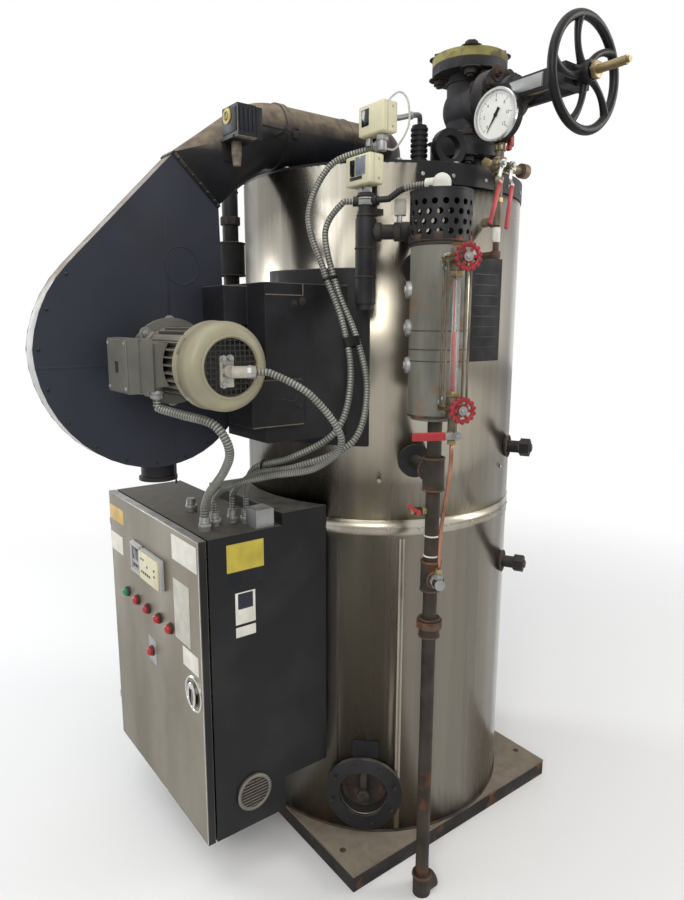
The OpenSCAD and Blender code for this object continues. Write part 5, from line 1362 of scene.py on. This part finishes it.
# Pressure gauge, its siphon and cocks
gauge = {"place": (0.4400, -0.0031), "z": 1.936, "turn": 5, "radius": 0.0585, "floor": 0.022,
         "cross": 1.826, "pitch": 0.017, "out": 0.020, "lever": 0.150}
dial = {"marks": 61, "first": 225, "span": -270, "reach": 0.0475, "needle": 238,
        "numbers": ("0", "2", "4", "6", "8", "10", "12")}


def numeral(bm, place, words, size):
    # a plain number turned into faces
    script = bpy.data.curves.new("numeral", "FONT")
    script.body, script.size, script.align_x, script.align_y = words, size, "CENTER", "CENTER"
    script.extrude = 0.00006
    holder = bpy.data.objects.new("numeral", script)
    scene.collection.objects.link(holder)
    flat = bpy.data.meshes.new_from_object(holder.evaluated_get(bpy.context.evaluated_depsgraph_get()))
    flat.transform(place)
    bm.from_mesh(flat)
    bpy.data.objects.remove(holder)
    bpy.data.meshes.remove(flat)
    bpy.data.curves.remove(script)


def makeGauge():
    face = at(*gauge["place"], gauge["z"]) @ Matrix.Rotation(math.radians(gauge["turn"]), 4, "Z") @ toFront
    inner = gauge["radius"] - 0.006
    single("gaugeBezel", "bezelSteel", turned, face,
           [(inner, gauge["floor"]), (inner, 0.0262), (inner + 0.0012, 0.0285),
            (gauge["radius"] - 0.0008, 0.0285), (gauge["radius"] + 0.0012, 0.0265),
            (gauge["radius"] + 0.0012, 0.0195), (inner + 0.004, 0.0195)], 96)
    single("gaugeDial", "dialWhite", rod, face @ at(0, 0, gauge["floor"] - 0.0002), inner - 0.0002, 0.0008,
           96)
    bm = bmesh.new()
    for k in range(dial["marks"]):
        a = math.radians(dial["first"] + dial["span"] * k / (dial["marks"] - 1))
        long = 0.0085 if k % 10 == 0 else 0.0055 if k % 5 == 0 else 0.0032
        mark = face @ Matrix.Rotation(a, 4, "Z") @ at(dial["reach"] - long, -0.0004, 0.0225)
        block(bm, mark, (long, 0.0011 if k % 10 == 0 else 0.0006, 0.0002))
    for k, words in enumerate(dial["numbers"]):
        a = math.radians(dial["first"] + dial["span"] * k / (len(dial["numbers"]) - 1))
        numeral(bm, face @ at(0.0325 * math.cos(a), 0.0325 * math.sin(a), 0.0227), words, 0.0105)
    finished("gaugeMarks", bm, "inkBlack")
    bm = bmesh.new()
    needle = face @ Matrix.Rotation(math.radians(dial["needle"]), 4, "Z")
    for x0, x1, w0, w1 in ((-0.017, 0.0, 0.0042, 0.0030), (0.0, 0.043, 0.0026, 0.0005)):
        corners = [bm.verts.new(needle @ Vector(q))
                   for q in ((x0, -w0, 0.0240), (x1, -w1, 0.0240), (x1, w1, 0.0240), (x0, w0, 0.0240))]
        foot = bm.faces.new(corners)
        lifted = bmesh.ops.extrude_face_region(bm, geom=[foot])["geom"]
        bmesh.ops.translate(bm, verts=[g for g in lifted if isinstance(g, bmesh.types.BMVert)],
                            vec=(needle.to_3x3() @ Vector((0, 0, 0.0007))))
    rod(bm, face @ at(0, 0, 0.0226), 0.0048, 0.0028, 20, edge=0.0006)
    finished("gaugeNeedle", bm, "inkBlack")


def profileBar(bm, place, outline, width):
    # a flat bar bent in its XZ plane, as wide as given along Y
    corners = [bm.verts.new(place @ Vector((x, -width / 2, z))) for x, z in outline]
    foot = bm.faces.new(corners)
    lifted = bmesh.ops.extrude_face_region(bm, geom=[foot])["geom"]
    bmesh.ops.translate(bm, verts=[g for g in lifted if isinstance(g, bmesh.types.BMVert)],
                        vec=place.to_3x3() @ Vector((0, width, 0)))


def makeCockLever(name, body, stands, side, turn):
    # plated shank with a cranked step, and a moulded grip over its end
    hub = at(gauge["place"][0] + gauge["out"], gauge["place"][1] + side * gauge["pitch"], gauge["cross"])
    hub = hub @ Matrix.Rotation(math.radians(turn), 4, "X")
    bm = bmesh.new()
    rod(bm, hub @ toX, 0.0085, 0.008, 20, edge=0.0008)
    bolt(bm, hub @ at(0.0078, 0, 0) @ toX, 0.010, 0.005)
    profileBar(bm, hub, [(0.003, 0.008), (0.003, -0.033), (0.012, -0.045), (0.012, -0.062),
                         (0.0148, -0.062), (0.0148, -0.044),
                         (0.0058, -0.032), (0.0058, 0.008)], 0.011)
    finished(name + "Shank", bm, "zinc", body=body, stands=[stands])
    bm = bmesh.new()
    block(bm, hub @ at(0.0102, -0.0061, -gauge["lever"]), (0.0062, 0.0122, 0.102), 0.0028, 3)
    block(bm, hub @ at(0.0096, -0.0068, -gauge["lever"] + 0.094), (0.0074, 0.0136, 0.008), 0.0024, 3)
    finished(name + "Grip", bm, "gripRed", body=body)


def makeSiphonDetails():
    # the test flange's cap with a black disc as painted shade in its hole, unions, and the white sleeve and
    # nut at the pipe's foot
    x, y = gauge["place"]
    bm = bmesh.new()
    cap = at(x, y, gauge["cross"]) @ toY
    turned(bm, cap @ at(0, 0, 0.0795), [(0.0102, 0), (0.0165, 0.001), (0.0174, 0.006), (0.0174, 0.0175),
                                        (0.0150, 0.0208), (0.0080, 0.0208),
                                        (0.0080, 0.0195), (0.0102, 0.0195)], 32)
    finished("testCap", bm, "rosyCap")
    # a black disc in the cap's hole, painted shade
    single("testCapHoleShade", "darkBore", rod, cap @ at(0, 0, 0.0992), 0.0082, 0.0009, 24)
    bm = bmesh.new()
    for z, radius in ((1.8675, 0.0146), (1.7950, 0.0128), (1.7480, 0.0128)):
        rod(bm, at(x, y, z - 0.006), radius, 0.012, 6, edge=0.001)
    for z in (1.842, 1.810):
        ringBar(bm, at(x, y, z), 0.0150, 0.0022, 32, 8)
    for side in (-1, 1):
        rod(bm, at(x + 0.0095, y + side * gauge["pitch"], gauge["cross"]) @ toX, 0.0098, 0.008, 6,
            edge=0.0008)
        rod(bm, at(x, y + side * 0.0380, gauge["cross"]) @ (toY if side > 0 else toFront), 0.0128, 0.0125,
            6, edge=0.001)
    finished("siphonNuts", bm, "brass")
    single("siphonSleeve", "whiteSeal", rod, at(x, y, 1.65), 0.01, 0.036, 24, edge=0.003)
    bm = bmesh.new()
    rod(bm, at(x, y, 1.618), 0.0075, 0.073, 24)
    rod(bm, at(x, y, 1.613), 0.0122, 0.017, 24, edge=0.0016)
    rod(bm, at(casing["radius"] - 0.001, y, 1.6215) @ toX, 0.0085, x - casing["radius"] + 0.001, 20)
    ringBar(bm, at(x - 0.016, y, 1.700) @ toX, 0.0118, 0.0020, 32, 8)
    finished("siphonFoot", bm, "rustFitting")
    bm = bmesh.new()
    rod(bm, at(x + 0.004, y + 0.022, 1.868) @ toX, 0.0060, 0.010, 16, edge=0.0008)
    rod(bm, at(x + 0.008, y + 0.004, 1.868) @ toY, 0.0038, 0.020, 12)
    block(bm, at(x + 0.002, y + 0.020, 1.872), (0.012, 0.016, 0.026), 0.0030, 3)
    finished("bleedHandle", bm, "gripRed")


makeGauge()
makeCockLever("leftCock", "left_cock", "left_lever", -1, -18)
makeCockLever("rightCock", "right_cock", "right_lever", 1, -8)
makeSiphonDetails()
print("stage: gauge")


# Air duct and its damper drive
duct = {"x": 0.025, "z": 1.915, "radius": 0.075, "clampY": -0.372, "farY": -0.175,
        "drive": (0.104, -0.5618, 1.863), "driveSize": (0.071, 0.047, 0.066)}


def makeDuctDetails():
    # the flanged joint at the scroll's outlet, beads and a clamp
    outletEnd = at(0, blower["y"], blower["z"]) @ Matrix.Rotation(math.radians(blower["tilt"]), 4, "X")
    outletEnd = outletEnd @ at(0, blower["outletEnd"], blower["radius"] - blower["throat"])
    bm = bmesh.new()
    block(bm, outletEnd @ at(-0.003, -0.007, -0.004), (0.066, 0.010, 0.008), 0.001)
    block(bm, outletEnd @ at(-0.003, -0.007, blower["throat"] - 0.003), (0.066, 0.010, 0.006), 0.001)
    for x in (-0.003, 0.0592):
        block(bm, outletEnd @ at(x, -0.007, 0.004), (0.0038, 0.010, blower["throat"] - 0.007), 0.001)
    for k in range(6):
        screw(bm, outletEnd @ at(0.063, -0.002, 0.014 + 0.024 * k) @ toX, 0.0036)
    finished("outletFlange", bm, "dustyDuct")
    bm = bmesh.new()
    for y in (-0.3835, duct["farY"], -0.085):
        ringBar(bm, at(duct["x"], y, duct["z"]) @ toY, duct["radius"], 0.0022, 72, 8)
    block(bm, at(duct["x"] + duct["radius"] + 0.003, duct["clampY"], duct["z"] - 0.018),
          (0.007, 0.014, 0.022), 0.0015)
    finished("ductBeads", bm, "dustyDuct")
    single("ductClampBolt", "darkBolt", bolt,
           at(duct["x"] + duct["radius"] + 0.007, duct["clampY"] + 0.007, duct["z"] + 0.003), 0.009, 0.006)


def makeActuator():
    # the drive's ribbed cover, the light edge of its tray, a yellow position disc, the linkage
    # and the entry below
    x, y, z = duct["drive"]
    wide, deep, tall = duct["driveSize"]
    bm = bmesh.new()
    for k in range(4):
        block(bm, at(x + wide - 0.0006, y + 0.005 + 0.0108 * k, z + 0.010), (0.0026, 0.0046, tall - 0.018),
              0.001)
    block(bm, at(x + 0.004, y - 0.0014, z + 0.009), (0.062, 0.0020, 0.050), 0.0008)
    block(bm, at(x + wide - 0.004, y + deep - 0.0005, z - 0.004), (0.006, 0.016, tall + 0.002), 0.0015)
    finished("driveCover", bm, "blackPlastic")
    bm = bmesh.new()
    block(bm, at(x - 0.002, y - 0.0022, z - 0.0030), (wide + 0.004, deep + 0.004, 0.0022), 0.0006)
    block(bm, at(x + wide + 0.0004, y - 0.001, z - 0.001), (0.0012, 0.0016, tall - 0.002), 0.0004)
    finished("driveTray", bm, "dustBrown")
    single("driveDisc", "tieYellow", turned, at(x + 0.026, y - 0.0006, z + 0.046) @ toFront,
           [(0.00001, 0), (0.0175, 0), (0.0175, 0.0026), (0.016, 0.0036), (0.00001, 0.0036)], 40)
    bm = bmesh.new()
    ringBar(bm, at(x + 0.026, y - 0.0042, z + 0.046) @ toFront, 0.0088, 0.0009, 32, 6)
    block(bm, at(x + 0.0248, y - 0.0052, z + 0.038), (0.0024, 0.0014, 0.016), 0.0004)
    finished("driveMark", bm, "inkBlack")
    bm = bmesh.new()
    rod(bm, at(0.148, y + deep + 0.013, 1.901) @ toY, 0.0034, 0.098, 14)
    rod(bm, at(duct["x"] + duct["radius"] - 0.006, -0.416, 1.899) @ toX, 0.0050, 0.060, 16)
    block(bm, at(0.1445, -0.4245, 1.8925), (0.0070, 0.0170, 0.0170), 0.0015)
    bolt(bm, at(0.1515, -0.416, 1.901) @ toX, 0.010, 0.006)
    block(bm, at(0.134, y + deep + 0.006, 1.882), (0.024, 0.008, 0.032), 0.0020)
    finished("driveLinkage", bm, "darkWire")
    bm = bmesh.new()
    rod(bm, at(0.128, -0.5400, 1.828), 0.0130, 0.010, 6, edge=0.001)
    rod(bm, at(0.128, -0.5400, 1.838), 0.0115, 0.022, 20, edge=0.0008)
    rod(bm, at(0.128, -0.5400, 1.808), 0.0090, 0.022, 20, tip=0.0110)
    finished("driveEntry", bm, "dustBrown")


makeDuctDetails()
makeActuator()
print("stage: duct")

# Pressure switches
# The housings stand for the CAD ones, rounder and with windows; their fittings are of another metal.
switches = {"low": (0.2698, -0.3360, 1.762), "high": (0.2908, -0.3160, 1.869),
            "size": (0.088, 0.042, 0.065)}


def makeSwitches():
    bm = bmesh.new()
    for key in ("low", "high"):
        block(bm, at(*switches[key]), switches["size"], 0.0045, 4)
    finished("switchBoxes", bm, "cream", stands=["pressure_switches"])
    bm = bmesh.new()
    for key in ("low", "high"):
        # the shallow lip of each cover and its two fixing bosses
        x, y, z = switches[key]
        block(bm, at(x + 0.0868, y + 0.012, z + 0.002), (0.0018, 0.0014, 0.061), 0.0005)
        for dz in (0.012, 0.053):
            rod(bm, at(x + 0.0870, y + 0.027, z + dz) @ toX, 0.0030, 0.0014, 16, edge=0.0004)
    finished("switchLips", bm, "dirtyCream")
    bm = bmesh.new()
    x, y, z = switches["high"]
    block(bm, at(x + 0.012, y - 0.0006, z + 0.020), (0.026, 0.0012, 0.036), 0.0003)
    x, y, z = switches["low"]
    block(bm, at(x + 0.017, y - 0.0006, z + 0.020), (0.018, 0.0012, 0.036), 0.0003)
    finished("switchWindows", bm, "darkWindow")
    single("switchScale", "blueWindow", block, at(x + 0.037, y - 0.0006, z + 0.02), (0.036, 0.0013, 0.04),
           0.0004)
    single("switchFoot", "slatePaint", block, at(x + 0.017, y - 0.0006, z + 0.0115),
           (0.044, 0.0013, 0.0075), 0.0004)
    bm = bmesh.new()
    # necks, nuts and unions below each housing
    x, y, z = 0.3518, -0.2960, switches["high"][2]
    rod(bm, at(x, y, z - 0.035), 0.0118, 0.036, 24, edge=0.001)
    rod(bm, at(x, y, z - 0.014), 0.0150, 0.013, 6, edge=0.001)
    rod(bm, at(0.3297, y, z - 0.023) @ toX, 0.0100, 0.022, 24, edge=0.001)
    rod(bm, at(0.3330, y, z - 0.023) @ toX, 0.0128, 0.009, 6, edge=0.001)
    rod(bm, at(0.312, -0.300, z - 0.018), 0.0075, 0.018, 20, edge=0.0006)
    rod(bm, at(0.312, -0.300, z - 0.020), 0.0098, 0.010, 6, edge=0.0008)
    for dx, radius in ((-0.024, 0.0098), (0.0, 0.0098)):
        rod(bm, at(0.3258 + dx, -0.3140, 1.7470), radius, 0.0150, 6, edge=0.001)
    rod(bm, at(0.3258, -0.3190, 1.7180), 0.0215, 0.0120, 8, edge=0.0012)
    finished("switchFittings", bm, "galvanised")


def makeManifoldDetails():
    # beads and seal rings of the screwed fittings, and the pale block on the arm
    x, y = 0.3258, -0.3190
    bm = bmesh.new()
    for z, radius in ((1.7380, 0.0208), (1.6960, 0.0208), (1.6240, 0.0242), (1.5600, 0.0242),
                      (1.5000, 0.0208)):
        ringBar(bm, at(x, y, z), radius - 0.0006, 0.0026, 40, 8)
    arm = around(45.6).to_3x3() @ Vector((0, 1, 0))
    for reach in (0.020, 0.064):
        rod(bm, facing(Vector((x, y, 1.660)) + arm * reach, arm), 0.0212, 0.016, 32, edge=0.002)
    finished("manifoldBeads", bm, "darkBolt")
    single("manifoldSeals", "whiteSeal", ringBar, at(x, y, 1.733), 0.0196, 0.0012, 40, 6)
    bm = bmesh.new()
    place = Matrix.Translation(Vector((x, y, 1.675)) + arm * 0.078)
    block(bm, place @ Matrix.Rotation(math.radians(45.6), 4, "Z") @ at(-0.013, -0.011, 0.0200),
          (0.026, 0.022, 0.036), 0.002)
    finished("armBlock", bm, "dirtyCream")
    single("armBlockNeck", "galvanised", rod, place, 0.0085, 0.021, 6, edge=0.0008)


def makeCapillary():
    # a thin rigid tube that loops over the upper housing, and the rigid spout to the ribbed entry
    bm = bmesh.new()
    loop, _ = smoothCurve([(0.362, -0.290, 1.932), (0.366, -0.286, 1.942), (0.378, -0.270, 1.955),
                           (0.393, -0.260, 1.938),
                           (0.399, -0.258, 1.900), (0.392, -0.260, 1.872),
                           (0.368, -0.268, 1.842), (0.358, -0.279, 1.838),
                           (0.352, -0.290, 1.842)], 0.004)
    tubeAlong(bm, loop, 0.0022, 8)
    finished("capillary", bm, "labelPale")
    bm = bmesh.new()
    spout, _ = smoothCurve([(0.366, -0.276, 1.903), (0.360, -0.255, 1.908), (0.345, -0.205, 1.925),
                            (0.318, -0.155, 1.940),
                            (0.296, -0.130, 1.938), (0.2916, -0.1268, 1.924)], 0.006)
    tubeAlong(bm, spout, 0.0062, 12)
    rod(bm, facing((0.345, -0.205, 1.925), (-0.44, 0.85, 0.27)) @ at(0, 0, -0.006), 0.0088, 0.014, 6,
        edge=0.0008)
    finished("spout", bm, "galvanised")


makeSwitches()
makeManifoldDetails()
makeCapillary()
print("stage: pressure switches")

# Blower bracket, conduit ties, handhole, flanges and base
bracket = {"x": 0.250, "shelf": 0.262}


def makeBracketDetails():
    # light strips along the edges, folded laps and bolts
    x = bracket["x"]
    bm = bmesh.new()
    block(bm, at(x - 0.0005, -0.543, 1.5165), (0.0016, 0.100, 0.0022), 0.0005)
    block(bm, at(x - 0.0005, -0.4442, 1.5165), (0.0016, 0.0022, 0.0270), 0.0005)
    block(bm, at(bracket["shelf"] - 0.0005, -0.588, 1.2195), (0.0014, 0.138, 0.0024), 0.0005)
    block(bm, at(0.1695, -0.605, 1.5370), (0.0014, 0.062, 0.0020), 0.0005)
    finished("bracketEdges", bm, "dustBrown")
    bm = bmesh.new()
    for y, z in ((-0.469, 1.498), (-0.444, 1.505)):
        bolt(bm, at(x, y, z) @ toX, 0.010, 0.006, shank=0.003)
    for y, z in ((-0.540, 1.258), (-0.463, 1.263)):
        bolt(bm, at(bracket["shelf"], y, z) @ toX, 0.010, 0.006, shank=0.003)
    finished("bracketBolts", bm, "darkBolt")
    bm = bmesh.new()
    gusset = [(bracket["shelf"] + 0.0008, y, z)
              for y, z in ((-0.532, 1.286), (-0.500, 1.2805), (-0.477, 1.275), (-0.463, 1.298))]
    tubeAlong(bm, gusset, 0.0012, 6)
    finished("bracketLine", bm, "slatePaint")


def onConduit(name, height):
    # the point where a conduit first comes down to a height, and its heading there
    fine, _ = smoothCurve(conduits[name][2], 0.004)
    for before, here in zip(fine, fine[1:]):
        if here.z < height:
            return here, (here - before).normalized()


def makeTie(bm, height, pair, thick, wide):
    # an oval band round two neighbouring conduits
    (p, ahead), (q, _) = (onConduit(name, height) for name in pair)
    across = (q - p) - ahead * (q - p).dot(ahead)
    reach = across.length / 2 + 0.0080
    across.normalize()
    other = ahead.cross(across)
    middle = (p + q) / 2
    for step in range(round(wide / thick)):
        centre = middle + ahead * thick * 1.6 * step
        oval = [centre + across * reach * math.cos(math.tau * k / 28) + other * 0.0092
                * math.sin(math.tau * k / 28)
                for k in range(29)]
        tubeAlong(bm, oval, thick, 6, closedEnds=False)


def makeTies():
    # plastic ties and tape round neighbouring conduits
    both = ("upperConduit", "lowerConduit")
    bm = bmesh.new()
    makeTie(bm, 1.425, both, 0.0016, 0.014)
    makeTie(bm, 1.560, both, 0.0012, 0.0036)
    makeTie(bm, 1.118, both, 0.0012, 0.0036)
    finished("tiesDark", bm, "inkBlack")


def makeHandhole():
    # a dished cover held by a short yoke and one nut, inside a ring with studs
    centre = around(46, casing["radius"], 0.172)
    single("handholeDish", "rustyIron", turned, centre @ at(-0.059, 0, 0) @ toX,
           [(0.00001, 0), (0.064, 0), (0.064, 0.032), (0.06, 0.034), (0.052, 0.024), (0.02, 0.018),
            (0.00001, 0.018)], 64, stands=["handhole_cover"])
    bm = bmesh.new()
    block(bm, centre @ at(-0.024, -0.010, -0.030), (0.026, 0.020, 0.098), 0.005, 3)
    rod(bm, centre @ at(-0.042, 0, -0.004) @ toX, 0.0085, 0.060, 20)
    rod(bm, centre @ at(0.002, 0, -0.004) @ toX, 0.0185, 0.014, 6, edge=0.002)
    finished("handholeYoke", bm, "darkBolt")
    bm = bmesh.new()
    for k in range(8):
        turn = centre @ Matrix.Rotation(math.tau * (k + 0.35) / 8, 4, "X") @ at(0, 0, 0.090)
        rod(bm, turn @ at(-0.004, 0, 0) @ toX, 0.0042, 0.0185, 12, edge=0.001)
    finished("handholeStuds", bm, "darkBolt")


def makeBurnerFlange():
    bm = bmesh.new()
    nutRing(bm, at(0.0, 0.0, casing["top"] + 0.0080), 8, 0.135, 0.017, 0.010, first=22.5)
    nutRing(bm, at(duct["x"], -0.050, casing["top"] + 0.0160), 6, 0.0820, 0.011, 0.006, first=10)
    finished("burnerBolts", bm, "darkBolt")


def makeRearFittings():
    # the flue flange's bolts and bead, the side stubs' welds and caps, the gas train's unions
    single("flueBolts", "zinc", nutRing, around(180, casing["radius"] + 0.006, 1.64) @ toX, 10, 0.117,
           0.015, 0.009, first=18)
    bm = bmesh.new()
    for reach in (0.060, 0.087):
        ringBar(bm, around(180, casing["radius"] + reach, 1.640) @ toX, 0.1000, 0.0022, 72, 8)
    finished("flueBeads", bm, "stainless")
    bm = bmesh.new()
    for z in (1.114, 0.772):
        ringBar(bm, around(117, casing["radius"] + 0.007, z) @ toX, 0.0300, 0.0026, 40, 8)
        ringBar(bm, around(117, casing["radius"] + 0.0405, z) @ toX, 0.0170, 0.0024, 32, 8)
        rod(bm, around(117, casing["radius"] + 0.067, z) @ toX, 0.0120, 0.007, 4, edge=0.001)
    finished("stubBeads", bm, "rustFitting")
    train = around(-45, casing["radius"] + 0.060, 0)
    bm = bmesh.new()
    for z, radius in ((1.530, 0.0238), (1.598, 0.0418), (1.692, 0.0418), (1.840, 0.0238), (1.760, 0.0238)):
        ringBar(bm, train @ at(0, 0, z), radius, 0.0026, 48, 8)
    rod(bm, train @ at(0, 0, 1.7450), 0.0310, 0.0240, 8, edge=0.002)
    rod(bm, train @ at(0, 0, 1.5210), 0.0290, 0.0200, 8, edge=0.002)
    finished("gasUnions", bm, "darkBolt")
    bm = bmesh.new()
    nutRing(bm, train @ at(0, 0, 1.6900), 4, 0.0320, 0.0090, 0.006, first=45)
    rod(bm, train @ at(0.0400, 0, 1.645) @ toX, 0.0110, 0.0060, 20, edge=0.001)
    finished("gasBolts", bm, "zinc")


def makeAnchors():
    # bolts in the deck's corner holes
    bm = bmesh.new()
    for x in (-0.308, 0.308):
        for y in (-0.364, 0.364):
            rod(bm, at(x, y, 0.0430), 0.0091, 0.0085, 6, edge=0.0008)
    finished("anchors", bm, "rustyIron")


makeBracketDetails()
makeTies()
makeHandhole()
makeBurnerFlange()
makeRearFittings()
makeAnchors()
print("stage: bracket, ties, handhole, flanges and base")
